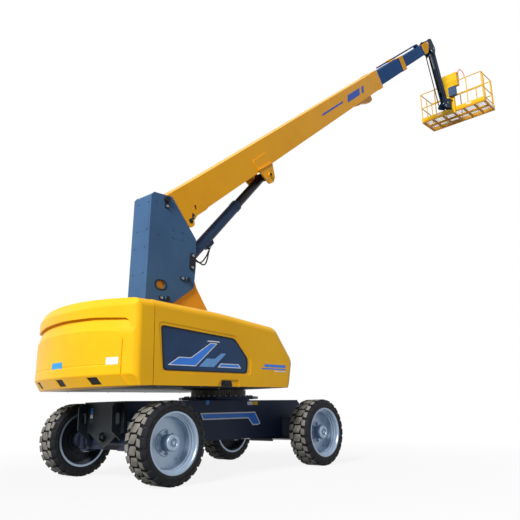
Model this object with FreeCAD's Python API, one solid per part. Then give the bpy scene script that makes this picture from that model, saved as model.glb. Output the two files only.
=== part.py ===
"""Telescopic boom lift on four wheels.

The origin is on the ground under the slewing axis. +X is the way the boom points and +Z is up,
so the machine's right side is at -Y. Lengths are in millimetres.
"""
import FreeCAD, Part
import math
import os

V = FreeCAD.Vector

# Wheels and axles
TYRE_RADIUS = 512.0
TYRE_WIDTH = 384.0
BEAD_RADIUS = 352.0
FLANK_RADIUS = 446.0
TYRE_SIDES = 48
TREAD_GAP = 42.0
RIM_RADIUS = 347.0
LIP_RADIUS = 378.0
RIM_LIP = 176.0
RIM_SIDES = 36
WHEEL_Y = 1055.0
REAR_AXLE_X = -1878.0
FRONT_AXLE_X = 1189.0
KINGPIN_Y = 820.0
KINGPIN_RADIUS = 32.0
STEER_ARM = 180.0
TIE_ROD_Z = 405.0
TIE_ROD_RADIUS = 20.0
FIT = 0.05

# Chassis
FRAME_HALF = 480.0
FRAME_TOP = 1030.0
FRAME_BOTTOM = 455.0
FRAME_WALL = 25.0
REAR_WALL_X = -2118.0
FRONT_WALL_X = 1429.0
LASHING_Y = 404.0
LASHING_REACH = 140.0
SEAT_TOP = 1090.0

# Slewing ring and turret
RING_ROOT = 430.0
RING_TIP = 442.0
RING_TOP = 1190.0
RING_TEETH = 66
TURRET_BOTTOM = 1200.0
TURRET_HALF = 1240.0
DECK_THICK = 25.0
SPINE_HALF = 405.0
HOOD_INNER = 425.0
HOOD_WALL = 10.0
HINGE_START = (-2216.0, 440.0, 2263.0)
HINGE_SLOPE = 3.59
HINGE_BARRELS = (150.0, 1500.0)
TAIL_BAND = 2780.0
TAIL_FACE = 2788.0
TAIL_SWING = 2805.0
TAIL_EAVES = 2256.0
TURRET_CORNER = 105.0
HOOD_DOME = 30.0
SEAM_X = -2240.0
SEAM_GAP = 6.0

# Tower
TOWER_HALF = 221.0
TOWER_WALL = 14.0
UPRIGHT_HALF = 190.0
UPRIGHT_THICK = 25.0
TOWER_PIN_A = (-865.0, 2874.0)
TOWER_PIN_B = (-1265.0, 2519.0)
LIFT_BASE = (-770.0, 3185.0)

# Boom: s runs along it from the pivot, n stands off it, upwards
BOOM_PIVOT = (-1299.0, 4090.0)
BOOM_ANGLE = 38.0
BASE_END = 8724.0
BASE_HALF = 200.0
BASE_TOP = 50.0
BASE_WALL = 10.0
MID_END = 10735.0
MID_HALF = 170.0
FLY_END = 12640.0
FLY_HALF = 140.0
LIFT_EYE = (2620.0, -605.0)
LIFT_BARREL_RADIUS = 98.0
LIFT_ROD_RADIUS = 82.0
LIFT_BARREL_LENGTH = 1793.0
NOSE_PIVOT = (13080.0, -70.0)

# Jib: t runs along it from its upper pin, p stands off it, forwards
JIB_UPPER = (9550.0, 12160.0)
JIB_ANGLE = -69.0
JIB_LENGTH = 1820.0
JIB_HALF = 85.0
JIB_DEPTH = 100.0
LINK_OFFSET = (-204.0, -184.0)
LINK_Y = 100.0
CHEEK_Y = 112.0
JIB_ROD_PIN = (-48.0, -194.0)
JIB_BARREL_PIN = (1400.0, -30.0)

# Platform
SWIVEL_X = 10500.0
PLATFORM_NEAR = 10762.0
PLATFORM_FAR = 11653.0
PLATFORM_HALF = 1098.0
PLATFORM_BOTTOM = 10387.0
TOE_HEIGHT = 165.0
RAIL_HEIGHT = 1100.0
RAIL_RADIUS = 16.5
RAIL_INSET = 24.0
PLATFORM_CORNER = 16.0
CONSOLE_RIGHT = 300.0


AXES = {"xz": (V(1, 0, 0), V(0, 0, 1)), "yz": (V(0, 1, 0), V(0, 0, 1)), "xy": (V(1, 0, 0), V(0, 1, 0))}


def outline(corners, plane):
    """Closed wire through (a, b, radius) corners, each rounded to its radius."""
    across, along = AXES[plane]
    points = [across * corner[0] + along * corner[1] for corner in corners]
    radii = [corner[2] if len(corner) > 2 else 0.0 for corner in corners]
    stretches = []
    for i, point in enumerate(points):
        back = (points[i - 1] - point).normalize()
        ahead = (points[(i + 1) % len(points)] - point).normalize()
        if radii[i] == 0.0:
            stretches.append((point, None, point))
            continue
        half = back.getAngle(ahead) / 2
        reach = radii[i] / math.tan(half)
        middle = (back + ahead).normalize()
        near = middle * (radii[i] / math.sin(half) - radii[i])
        stretches.append((point + back * reach, point + near, point + ahead * reach))
    edges = []
    for i, (start, middle, end) in enumerate(stretches):
        last = stretches[i - 1][2]
        if last.distanceToPoint(start) > 1e-6:
            edges.append(Part.LineSegment(last, start).toShape())
        if middle is not None:
            edges.append(Part.Arc(start, middle, end).toShape())
    return Part.Wire(edges)


def slab(corners, plane, low, high):
    """Flat plate with a rounded outline, between two offsets square to its plane."""
    normal = {"xz": V(0, 1, 0), "yz": V(1, 0, 0), "xy": V(0, 0, 1)}[plane]
    face = Part.Face(outline(corners, plane))
    face.translate(normal * low)
    return face.extrude(normal * (high - low))


def rounded_box(a0, a1, b0, b1, radius):
    """Corners of a rectangle, each rounded to the radius."""
    return [(a0, b0, radius), (a1, b0, radius), (a1, b1, radius), (a0, b1, radius)]


def block(x0, x1, y0, y1, z0, z1):
    return Part.makeBox(x1 - x0, y1 - y0, z1 - z0, V(x0, y0, z0))


def bar(radius, start, end):
    """Round bar from one point to another."""
    start = V(*start)
    run = V(*end) - start
    return Part.makeCylinder(radius, run.Length, start, run)


def cross_bar(radius, a, b, half):
    """Round bar along Y through the point (a, b) of the XZ plane."""
    return bar(radius, (a, -half, b), (a, half, b))


def joined(*shapes):
    whole = shapes[0].fuse(list(shapes[1:]))
    return whole.removeSplitter()


def group(*shapes):
    """Solids of one node that don't touch."""
    return Part.makeCompound(list(shapes))


def mirrored(shape):
    return shape.mirror(V(0, 0, 0), V(0, 1, 0))


def pair(shape):
    """A shape on one side and its mirror image on the other."""
    return [shape, mirrored(shape)]


def turned(shape, pivot, angle):
    """A shape drawn along X, swung up by the angle and carried to a pivot in the XZ plane."""
    moved = shape.copy()
    moved.rotate(V(0, 0, 0), V(0, -1, 0), angle)
    moved.translate(V(pivot[0], 0, pivot[1]))
    return moved


def on_boom(shape):
    return turned(shape, BOOM_PIVOT, BOOM_ANGLE)


def on_jib(shape):
    return turned(shape, JIB_UPPER, JIB_ANGLE)


def boom_point(s, n):
    """Where a point of the boom's side view lies in the XZ plane."""
    rise = math.radians(BOOM_ANGLE)
    x = BOOM_PIVOT[0] + s * math.cos(rise) - n * math.sin(rise)
    z = BOOM_PIVOT[1] + s * math.sin(rise) + n * math.cos(rise)
    return x, z


def jib_point(t, p):
    """Where a point of the jib's side view lies in the XZ plane."""
    rise = math.radians(JIB_ANGLE)
    x = JIB_UPPER[0] + t * math.cos(rise) - p * math.sin(rise)
    z = JIB_UPPER[1] + t * math.sin(rise) + p * math.cos(rise)
    return x, z


def faceted(profile, sides):
    """Ring of flat facets about the Y axis from a closed (radius, y) outline."""
    turns = [2 * math.pi * i / sides for i in range(sides)]
    rings = [[V(r * math.cos(turn), y, r * math.sin(turn)) for turn in turns] for r, y in profile]
    faces = []
    for near, far in zip(rings, rings[1:] + rings[:1]):
        for i in range(sides):
            j = (i + 1) % sides
            corners = [near[i], near[j], far[j], far[i]]
            apart = [c for k, c in enumerate(corners) if c.distanceToPoint(corners[k - 1]) > 1e-6]
            if len(apart) > 2:
                faces.append(Part.Face(Part.makePolygon(apart + apart[:1])))
    solid = Part.Solid(Part.Shell(faces))
    if solid.Volume < 0:
        solid.reverse()
    return solid


def round_tube(radius, start, end, sides=8):
    """Slim bar with flat facets, for rails and other small tubes."""
    start = V(*start)
    run = V(*end) - start
    turns = [2 * math.pi * (i + 0.5) / sides for i in range(sides)]
    corners = [V(radius * math.cos(turn), radius * math.sin(turn), 0) for turn in turns]
    tube = Part.Face(Part.makePolygon(corners + corners[:1])).extrude(V(0, 0, run.Length))
    tube.Placement = FreeCAD.Placement(start, FreeCAD.Rotation(V(0, 0, 1), run))
    return tube


def bent_tube(radius, points, sides=8):
    """Slim tube with flat facets along straight runs, mitred where they meet."""
    points = [V(*point) for point in points]
    turns = [2 * math.pi * (i + 0.5) / sides for i in range(sides)]
    corners = [V(radius * math.cos(turn), radius * math.sin(turn), 0) for turn in turns]
    section = Part.makePolygon(corners + corners[:1])
    section.Placement = FreeCAD.Placement(points[0], FreeCAD.Rotation(V(0, 0, 1), points[1] - points[0]))
    return Part.makePolygon(points).makePipeShell([section], True, False, 1)


# ---------------------------------------------------------------- wheels and axles

def tread_gap():
    """Wedge between two shoulder lugs, deepest where it runs out through the sidewall."""
    half = TYRE_WIDTH / 2
    tip = TYRE_RADIUS + 10
    corners = [(70, tip), (half + 20, 428), (half + 20, tip)]
    wedge = slab(corners, "yz", -TREAD_GAP / 2, TREAD_GAP / 2)
    wedge.rotate(V(0, 90, 0), V(0, 0, 1), 14)
    return wedge


def tyre():
    """Ring with angled shoulder lugs on each side, one row half a pitch behind the other."""
    half = TYRE_WIDTH / 2
    flank = [(BEAD_RADIUS, 162), (FLANK_RADIUS, half), (TYRE_RADIUS, half - 40)]
    ring = faceted([(r, -y) for r, y in flank] + flank[::-1], TYRE_SIDES)
    pitch = 360.0 / TYRE_SIDES
    gaps = []
    for i in range(TYRE_SIDES):
        gap = tread_gap() if i % 2 else mirrored(tread_gap())
        gap.rotate(V(0, 0, 0), V(0, 1, 0), (i + 0.5) * pitch)
        gaps.append(gap)
    return ring.cut(gaps)


def rim():
    """Deep-dished steel rim with its hub drum; the open face is towards +Y."""
    lip = RIM_LIP
    profile = [
        (0, -50), (165, -50), (165, -24), (316, -24), (326, -lip + 22), (348, -lip), (LIP_RADIUS, -lip),
        (LIP_RADIUS, -lip + 4.5), (RIM_RADIUS, -lip + 14.4), (RIM_RADIUS, lip - 14.4),
        (LIP_RADIUS, lip - 4.5), (LIP_RADIUS, lip), (350, lip), (332, lip - 24), (330, 66), (312, 22),
        (300, -8), (150, -8), (150, 128), (112, 140), (106, 158), (0, 158),
    ]
    return faceted(profile, RIM_SIDES)


CORNERS = {
    "rear_right": (REAR_AXLE_X, -1), "rear_left": (REAR_AXLE_X, 1),
    "front_right": (FRONT_AXLE_X, -1), "front_left": (FRONT_AXLE_X, 1),
}


def at_corner(shape, corner):
    """Carries a shape drawn about a left wheel's centre to its corner of the chassis."""
    axle_x, side = CORNERS[corner]
    placed = shape.copy() if side > 0 else mirrored(shape)
    placed.translate(V(axle_x, side * WHEEL_Y, TYRE_RADIUS))
    return placed


def inward(axle_x):
    """The way along X from an axle towards the middle of the machine."""
    return 1.0 if axle_x < 0 else -1.0


def knuckle(corner):
    """Kingpin, spindle housing and steering arm, drawn about the wheel's centre."""
    axle_x = CORNERS[corner][0]
    way = inward(axle_x)
    pin_y = KINGPIN_Y - WHEEL_Y
    kingpin = bar(KINGPIN_RADIUS, (0, pin_y, -165), (0, pin_y, 165))
    body = block(-70, 70, pin_y - 55, pin_y + 60, -115, 115)
    spindle = faceted([(0, pin_y + 30), (120, pin_y + 30), (120, -56), (0, -56)], 16)
    arm_z = TIE_ROD_Z - TYRE_RADIUS
    arm = slab([(way * 20, pin_y - 50), (way * 20, pin_y + 40), (way * (STEER_ARM + 34), pin_y - 26, 30),
                (way * (STEER_ARM + 34), pin_y - 94, 30)], "xy", arm_z + 28, arm_z + 54)
    return at_corner(joined(kingpin, body, spindle, arm), corner)


def axle(axle_x):
    """Axle beam with a fork at each end and the steering cylinder's barrel."""
    way = inward(axle_x)
    mid_z = TYRE_RADIUS
    beam = block(axle_x - 90, axle_x + 90, -640, 640, 400, 640)
    fork = block(axle_x - 45, axle_x + 45, 630, 700, mid_z - 150, mid_z + 150)
    plan = [(axle_x - 185, FRAME_HALF), (axle_x + 185, FRAME_HALF), (axle_x + 75, 700), (axle_x - 75, 700)]
    slope = [(FRAME_HALF, 460), (700, 460), (700, 735), (FRAME_HALF, 775)]
    bracket = slab(plan, "xy", 460, 800).common(slab(slope, "yz", axle_x - 200, axle_x + 200))
    tip = KINGPIN_Y + 62
    jaw = [(axle_x - 75, 640), (axle_x + 75, 640), (axle_x + 70, tip, 60), (axle_x - 70, tip, 60)]
    top = slab(jaw, "xy", mid_z + 120, mid_z + 150)
    low = slab(jaw, "xy", mid_z - 150, mid_z - 120)
    barrel_x = axle_x + way * STEER_ARM
    barrel = bar(45, (barrel_x, -240, TIE_ROD_Z), (barrel_x, 240, TIE_ROD_Z))
    saddle_x = sorted((axle_x + way * 80, barrel_x))
    saddle = block(saddle_x[0], saddle_x[1], -150, 150, TIE_ROD_Z - 20, TIE_ROD_Z + 20)
    sides = [part for shape in (fork, bracket, top, low) for part in pair(shape)]
    whole = joined(beam, barrel, saddle, *sides)
    holes = pair(bar(KINGPIN_RADIUS + FIT, (axle_x, KINGPIN_Y, 0), (axle_x, KINGPIN_Y, 900)))
    bore = bar(TIE_ROD_RADIUS + FIT, (barrel_x, -300, TIE_ROD_Z), (barrel_x, 300, TIE_ROD_Z))
    return whole.cut(holes + [bore])


def tie_rod(axle_x):
    x = axle_x + inward(axle_x) * STEER_ARM
    end_y = KINGPIN_Y - 60
    rod = bar(TIE_ROD_RADIUS, (x, -end_y, TIE_ROD_Z), (x, end_y, TIE_ROD_Z))
    socket = bar(30, (x, end_y, TIE_ROD_Z - 22), (x, end_y, TIE_ROD_Z + 22))
    return joined(rod, *pair(socket))


# ---------------------------------------------------------------- chassis

def end_wall(wall_x, way):
    """Crosswise end plate with its pointed lower edge, tow lug and two lashing plates."""
    plate = slab([(-FRAME_HALF, FRAME_TOP), (-FRAME_HALF, 640), (-300, 596), (0, 438, 30), (300, 596),
                  (FRAME_HALF, 640), (FRAME_HALF, FRAME_TOP)], "yz",
                 *sorted((wall_x, wall_x - way * 30)))
    reach = wall_x + way * LASHING_REACH
    ear = slab([(wall_x, 1012), (reach - way * 55, 1012), (reach, 958), (reach, 658), (wall_x, 538)],
               "xz", LASHING_Y - 12, LASHING_Y + 12)
    slot_x = wall_x + way * 56
    slot = slab(rounded_box(slot_x - 28, slot_x + 28, 738, 886, 27), "xz", LASHING_Y - 30, LASHING_Y + 30)
    lug = slab([(wall_x, 640), (wall_x + way * 70, 610, 30), (wall_x + way * 70, 540, 30), (wall_x, 500)],
               "xz", -20, 20)
    hole = cross_bar(26, wall_x + way * 34, 574, 40)
    return joined(plate, lug, *pair(ear)).cut(pair(slot) + [hole])


def chassis_frame():
    """Box frame open below, with cross walls over the axles and the seat of the slewing ring."""
    side = [
        (REAR_WALL_X + 30, FRAME_TOP), (REAR_WALL_X + 30, 620), (REAR_AXLE_X - 90, FRAME_BOTTOM),
        (FRONT_AXLE_X + 90, FRAME_BOTTOM), (FRONT_WALL_X - 30, 620), (FRONT_WALL_X - 30, FRAME_TOP),
    ]
    shell = slab(side, "xz", -FRAME_HALF, FRAME_HALF)
    inner = FRAME_HALF - FRAME_WALL
    bays = [
        (REAR_WALL_X + 30, REAR_AXLE_X - 115), (REAR_AXLE_X + 115, -700), (-675, 650),
        (675, FRONT_AXLE_X - 115), (FRONT_AXLE_X + 115, FRONT_WALL_X - 30),
    ]
    hollows = [block(a, b, -inner, inner, 300, FRAME_TOP - FRAME_WALL) for a, b in bays]
    notches = [block(x - 90, x + 90, -600, 600, 400, 640) for x in (REAR_AXLE_X, FRONT_AXLE_X)]
    turns = [math.radians(angle) for angle in range(15, 375, 30)]
    seat_corners = [(640 * math.cos(turn), 640 * math.sin(turn)) for turn in turns]
    seat = slab(seat_corners, "xy", FRAME_TOP + 20, SEAT_TOP)
    drum = bar(500, (0, 0, FRAME_TOP), (0, 0, FRAME_TOP + 20))
    walls = [end_wall(REAR_WALL_X, -1), end_wall(FRONT_WALL_X, 1)]
    return joined(shell.cut(hollows + notches), drum, seat, *walls)


def slew_ring():
    """Slewing ring with its teeth on the outside."""
    corners = []
    step = 2 * math.pi / RING_TEETH
    for i in range(RING_TEETH):
        for share, radius in ((-0.32, RING_ROOT), (-0.14, RING_TIP), (0.14, RING_TIP), (0.32, RING_ROOT)):
            angle = (i + share) * step
            corners.append((radius * math.cos(angle), radius * math.sin(angle)))
    gear = slab(corners, "xy", SEAT_TOP, RING_TOP)
    return gear.cut(bar(330, (0, 0, SEAT_TOP - 10), (0, 0, RING_TOP + 10)))


# ---------------------------------------------------------------- turret

def along_hinge(shape):
    """Carries a shape drawn along X to the right hood's hinge line, which slopes down forwards."""
    moved = shape.copy()
    moved.rotate(V(0, 0, 0), V(0, 1, 0), HINGE_SLOPE)
    moved.translate(V(HINGE_START[0], -HINGE_START[1], HINGE_START[2]))
    return moved


def hinge_bracket(start):
    """Two swan-necked plates and their pin, which carry one barrel of the hood's hinge."""
    reach = HINGE_START[1] - SPINE_HALF + 1
    neck = [(-14, 14, 13.9), (14, 14, 13.9), (14, -64, 20), (reach, -100), (reach, -165), (-14, -125)]
    plates = [slab(neck, "yz", start + offset, start + offset + 12) for offset in (-15, 83)]
    return plates + [bar(8, (start - 20, 0, 0), (start + 100, 0, 0))]


def turntable():
    """Deck plate on the slewing ring, the spine walls and the two uprights that hold the tower."""
    deck = slab([(-2220, -1200), (238, -1200), (318, -1120), (318, 1120), (238, 1200), (-2220, 1200)], "xy",
                TURRET_BOTTOM, TURRET_BOTTOM + DECK_THICK)
    ring = bar(425, (0, 0, RING_TOP + 0.3), (0, 0, TURRET_BOTTOM))
    floor = TURRET_BOTTOM + DECK_THICK
    wall = [(-2220, floor), (300, floor), (300, 1500, 60), (-60, 1960, 60), (-700, 2080), (-2220, 2150)]
    spine = slab(wall, "xz", SPINE_HALF - 12, SPINE_HALF)
    side = [(-1610, floor), (285, floor), (285, 1432), (-655, 2780), (-735, 2990, 60), (-1560, 2990, 60)]
    upright = slab(side, "xz", UPRIGHT_HALF - UPRIGHT_THICK, UPRIGHT_HALF)
    brace = block(-1600, -1575, -170, 170, floor, 2950)
    front_brace = slab([(-560, 2560), (240, 1440), (262, 1454), (-538, 2574)], "xz", -170, 170)
    hinges = [along_hinge(shape) for start in HINGE_BARRELS for shape in hinge_bracket(start)]
    sides = [part for shape in [spine, upright] + hinges for part in pair(shape)]
    return joined(deck, ring, brace, front_brace, *sides)


def rounded(shape, radius, chosen):
    """Fillets the edges that the test picks by their two end points."""
    edges = []
    for edge in shape.Edges:
        ends = [edge.valueAt(edge.FirstParameter), edge.valueAt(edge.LastParameter)]
        if chosen(*ends):
            edges.append(edge)
    return shape.makeFillet(radius, edges)


def swung(profile):
    """Part of a ring about the slewing axis, from an outline in the XZ plane behind it."""
    face = Part.Face(outline(profile, "xz"))
    face.rotate(V(0, 0, 0), V(0, 0, 1), -35)
    return face.revolve(V(0, 0, 0), V(0, 0, 1), 70)


def tail_form(profile, half, swing):
    """Sector of the tail between its sides, domed above, with its corners and eaves rounded."""
    front = SEAM_X - SEAM_GAP
    roof = [(-half, 1100), (-half, TAIL_EAVES, TURRET_CORNER), (0, TAIL_EAVES + 60, 20000),
            (half, TAIL_EAVES, TURRET_CORNER), (half, 1100)]
    body = swung(profile).common(slab(roof, "yz", -3000, front))
    turn = math.asin((half - 110) / swing)
    corner_x = -swing * math.cos(turn) + 110 * math.tan(turn)
    beyond_x = corner_x - 900 * math.tan(turn)
    plan = [(front, -half), (corner_x, -half, TURRET_CORNER), (beyond_x, 900 - half), (beyond_x, half - 900),
            (corner_x, half, TURRET_CORNER), (front, half)]
    return body.common(slab(plan, "xy", 1100, 2500))


def counterweight():
    """Cast block that closes the turret's tail, its rear swung about the slewing axis.

    A wide band with a rolled edge runs over the top and turns down before each corner. Below it the
    rear face leans back under the band's edge and carries a raised panel over an undercut bumper.
    """
    bottom = TURRET_BOTTOM
    inside = SEAM_X + 40
    band = [(inside, bottom), (-TAIL_BAND + 60, bottom), (-TAIL_BAND, bottom + 140), (-TAIL_BAND, 2175, 60),
            (-TAIL_BAND + 80, 2325, 80), (inside, 2400)]
    face = [(inside, bottom), (-TAIL_FACE + 75, bottom), (-TAIL_FACE, bottom + 135, 60),
            (-TAIL_FACE, 1850, 300), (-TAIL_FACE + 75, 2110), (inside, 2110)]
    bumper = [(inside, bottom), (-TAIL_SWING + 78, bottom), (-TAIL_SWING, 1335, 40), (-TAIL_SWING, 1440, 12),
              (-TAIL_FACE, 1476), (inside, 1476)]
    opening = [(-1222, 1100), (-1218, 1465, 300), (-1130, 2005, 90), (-600, 2050, 900), (0, 2064, 4000),
               (600, 2052, 4000), (1400, 2010), (1400, 1100)]
    raised = [(-1058, 1460), (-1068, 1760, 90), (-980, 1855, 90), (-450, 1885, 2000)]
    raised += [(-y, *rest) for y, *rest in reversed(raised)]
    ends = [(-1105, bottom), (-1060, 1335), (-1060, 1500), (1060, 1500), (1060, 1335), (1105, bottom)]
    cover = tail_form(band, TURRET_HALF, TAIL_BAND).cut(slab(opening, "yz", -3000, -2300))
    inner = tail_form(face, TURRET_HALF - 8, TAIL_FACE)
    front, rear = -TAIL_SWING + 200, -TAIL_SWING + 4
    skin = [(front, 1400), (rear, 1400), (rear, 2000), (front, 2000)]
    panel = swung(skin).common(slab(raised, "yz", -3000, -2300))
    lip = swung(bumper).common(slab(ends, "yz", -3000, -2300))
    slots = []
    for y in (-627, 30, 790):
        corners = [(y - 88, 1310), (y + 88, 1310), (y + 50, 1222), (y - 120, 1222)]
        slots.append(slab(corners, "yz", -3000, -2600))
    return joined(cover, inner, panel, lip).cut(slots)


def hood_body(inset):
    """Solid of the right hood's outer form, drawn in by the inset; its top rises towards the middle."""
    rear = SEAM_X + SEAM_GAP
    skin = -TURRET_HALF + inset
    floor = TURRET_BOTTOM - 4 * inset
    side = [(rear, 2262 - inset), (-1086, 2206 - inset, 8000), (60 - inset, 2096 - inset, 220),
            (450 - inset, 1612, 180), (372 - inset, 1236, 60), (250 - inset, 1000), (rear, 1000)]
    face = Part.Face(outline(side, "xz"))
    face.translate(V(0, skin, 0))
    width = TURRET_HALF - HOOD_INNER + 3 * inset
    body = face.extrude(V(0, width, HOOD_DOME * width / (TURRET_HALF - HOOD_INNER)))
    def on_rim(a, b):
        return max(a.y, b.y) < skin + 1 and max(a.x, b.x) > rear + 1 and max(a.z, b.z) > 1001
    body = rounded(body, TURRET_CORNER - inset, on_rim)
    return body.common(block(-3000, 1000, -2000, 0, floor, 3000))


WINDOW = [(-2142, 1944, 40), (-846, 1862, 120), (-584, 1592, 90), (-606, 1383, 40), (-2092, 1383, 40)]
SURROUND = [(-2186, 1988, 60), (-832, 1900, 120), (-516, 1590, 100), (-540, 1358, 40), (-2101, 1354, 40)]
LATCH_PAN = [(-1229, 1150), (-1110, 1291, 20), (-782, 1291, 20), (-735, 1150)]


def shrunk(corners, gap):
    """Corners drawn towards the outline's middle, sideways and up and down; a gap below 0 grows it."""
    mid_a = (max(c[0] for c in corners) + min(c[0] for c in corners)) / 2
    mid_b = (max(c[1] for c in corners) + min(c[1] for c in corners)) / 2
    drawn = []
    for a, b, *radius in corners:
        drawn.append((a - gap * math.copysign(1, a - mid_a), b - gap * math.copysign(1, b - mid_b), *radius))
    return drawn


def hood_right():
    """Pressed hood with a recess round its window, a pan for the latch and two hinge barrels."""
    skin = -TURRET_HALF
    outer = hood_body(0)
    inner = hood_body(HOOD_WALL)
    for corners, depth in ((SURROUND, 5), (LATCH_PAN, 12)):
        outer = outer.cut(slab(corners, "xz", skin - 20, skin + depth))
        inner = inner.cut(slab(shrunk(corners, -HOOD_WALL), "xz", skin - 20, skin + depth + HOOD_WALL))
    shell = outer.cut(inner).cut(slab(WINDOW, "xz", skin - 20, skin + 60))
    barrels = []
    for start in HINGE_BARRELS:
        leaf = block(start, start + 80, -12, 12, 0, 30)
        barrels.append(along_hinge(joined(bar(13, (start, 0, 0), (start + 80, 0, 0)), leaf).cut(
            bar(8 + FIT, (start - 10, 0, 0), (start + 90, 0, 0)))))
    return joined(shell, *barrels)


def latch_right():
    """Paddle latch in its pan."""
    face = -TURRET_HALF + 12
    plate = slab(rounded_box(-1075, -930, 1222, 1262, 14), "xz", face - 6, face)
    lever = slab(rounded_box(-1062, -943, 1228, 1256, 13), "xz", face - 22, face - 14)
    post = bar(12, (-1003, face - 16, 1242), (-1003, face - 4, 1242))
    return joined(plate, lever, post)


def window_right():
    return slab(shrunk(WINDOW, 1.0), "xz", -TURRET_HALF + 8, -TURRET_HALF + 14)


def front_cover():
    """Fixed nose panel between the two hoods."""
    floor = TURRET_BOTTOM + DECK_THICK
    profile = [(300, floor), (424, 1249, 40), (469, 1604, 120), (380, 1700), (366, 1690), (455, 1600, 110),
               (412, 1255, 30), (300, floor + 12)]
    return slab(profile, "xz", -SPINE_HALF - 8, SPINE_HALF + 8)


def engine():
    return block(-2050, -950, 480, 1080, TURRET_BOTTOM + DECK_THICK, 1950)


def tank():
    return block(-1900, -700, -1080, -560, TURRET_BOTTOM + DECK_THICK, 1780)


# ---------------------------------------------------------------- tower

TOWER_SIDE = [(-1594, 4103, 20), (-1547, 4158, 20), (-1196, 4166, 30), (-982, 3906), (-693, 3561, 40),
              (-694, 3118, 30), (-735, 2758, 40), (-1450, 2252, 30), (-1664, 2252)]


def tower():
    """Column of two side plates and a rear wall, pinned to the uprights."""
    cheek = slab(TOWER_SIDE, "xz", TOWER_HALF - TOWER_WALL, TOWER_HALF)
    oval = slab(rounded_box(-1457, -1307, 2661, 2781, 58), "xz", 100, 300)
    rear = slab([(-1664, 2252), (-1594, 4103), (-1580, 4103), (-1650, 2252)], "xz", -TOWER_HALF, TOWER_HALF)
    bend = [(-1594, 4095), (-1547, 4150), (-1470, 4152), (-1470, 4138), (-1541, 4136), (-1580, 4090)]
    cap = slab(bend, "xz", -TOWER_HALF + 5, TOWER_HALF - 5)
    bosses = [bar(70, (x, UPRIGHT_HALF, z), (x, TOWER_HALF, z)) for x, z in (TOWER_PIN_A, TOWER_PIN_B)]
    heads = [bar(38, (x, TOWER_HALF, z), (x, TOWER_HALF + 34, z)) for x, z in (TOWER_PIN_A, TOWER_PIN_B)]
    lift_stub = bar(60, (LIFT_BASE[0], 110, LIFT_BASE[1]), (LIFT_BASE[0], TOWER_HALF, LIFT_BASE[1]))
    sides = [part for shape in [cheek.cut(oval), lift_stub] + bosses + heads for part in pair(shape)]
    whole = joined(rear, cap, *sides)
    hole = cross_bar(45 + FIT, BOOM_PIVOT[0], BOOM_PIVOT[1], 300)
    return whole.cut(hole)


# ---------------------------------------------------------------- boom

def box_tube(corners, half, wall_corners, wall_half):
    """Rectangular tube: an outer prism less an inner one."""
    return slab(corners, "xz", -half, half).cut(slab(wall_corners, "xz", -wall_half, wall_half))


def boom_base():
    outer = [(150, BASE_TOP), (BASE_END, BASE_TOP), (BASE_END, -419), (531, -469), (150, -380)]
    ceiling = BASE_TOP - BASE_WALL
    inner = [(140, ceiling), (BASE_END + 10, ceiling), (BASE_END + 10, -409), (531, -459), (140, -368)]
    tube = box_tube(outer, BASE_HALF, inner, BASE_HALF - BASE_WALL)
    heel = [(-60, 80, 60), (40, 62), (760, 50, 60), (760, -469), (690, -484), (440, -480), (330, -520),
            (300, -588, 60), (190, -588, 60), (-110, -40, 90)]
    cheek = slab(heel, "xz", BASE_HALF - 16, BASE_HALF + 3)
    side_slot = slab([(468, -400, 20), (512, -400, 20), (530, -310, 20), (486, -310, 20)], "xz", 150, 260)
    pivot = cross_bar(75, 0, 0, BASE_HALF + 3)
    pin = cross_bar(45, 0, 0, TOWER_HALF + 34)
    rear_pin = bar(34, (267, BASE_HALF - 60, -495), (267, BASE_HALF + 3, -495))
    collar = slab([(8524, 62), (BASE_END, 62), (BASE_END, -431), (8524, -432)], "xz", -212, 212)
    hollow = slab([(8400, BASE_TOP - 5), (8800, BASE_TOP - 5), (8800, -412), (8400, -414)], "xz", -195, 195)
    pad_side = [(2374, -213, 40), (2878, -213, 40), (2861, -425), (2379, -425)]
    pad = slab(pad_side, "xz", BASE_HALF, BASE_HALF + 12)
    lug_side = [(2379, -418), (2862, -440), (2740, -704, 40), (2640, -765, 60), (2508, -753, 40)]
    lug = slab(lug_side, "xz", BASE_HALF, BASE_HALF + 30)
    ledge = slab([(2379, -405), (2379, -425), (2862, -446), (2862, -426)], "xz", BASE_HALF, BASE_HALF + 44)
    lift_pin = bar(38, (LIFT_EYE[0], 95, LIFT_EYE[1]), (LIFT_EYE[0], BASE_HALF + 62, LIFT_EYE[1]))
    rest = slab([(7500, -417), (8170, -417), (8160, -565, 50), (7980, -592, 60), (7520, -478)], "xz", -60, 60)
    roller = slab([(7250, -417), (7475, -417), (7455, -505, 25), (7270, -470, 20)], "xz", -45, 45)
    groove = slab([(8500, BASE_TOP + 1), (8750, BASE_TOP + 1), (8750, 90), (8500, 90)], "xz", -48, 48)
    sides = []
    for shape in (cheek.cut(side_slot), rear_pin, pad, lug, ledge, lift_pin):
        sides += pair(shape)
    collar = collar.cut([hollow, groove])
    return on_boom(joined(tube.cut(pair(side_slot)), collar, pivot, pin, rest, roller, *sides))


def boom_mid():
    tube = box_tube([(2100, 22), (MID_END, 22), (MID_END, -368), (2100, -368)], MID_HALF,
                    [(2090, 12), (MID_END + 10, 12), (MID_END + 10, -358), (2090, -358)], MID_HALF - 10)
    start = MID_END - 245
    band = [(start, 36), (MID_END, 36), (MID_END, -382), (start, -382)]
    collar = slab(band, "xz", -MID_HALF - 14, MID_HALF + 14)
    hollow = slab([(start - 50, 16), (MID_END + 50, 16), (MID_END + 50, -362), (start - 50, -362)], "xz",
                  -MID_HALF + 5, MID_HALF - 5)
    return on_boom(joined(tube, collar.cut(hollow)))


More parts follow.
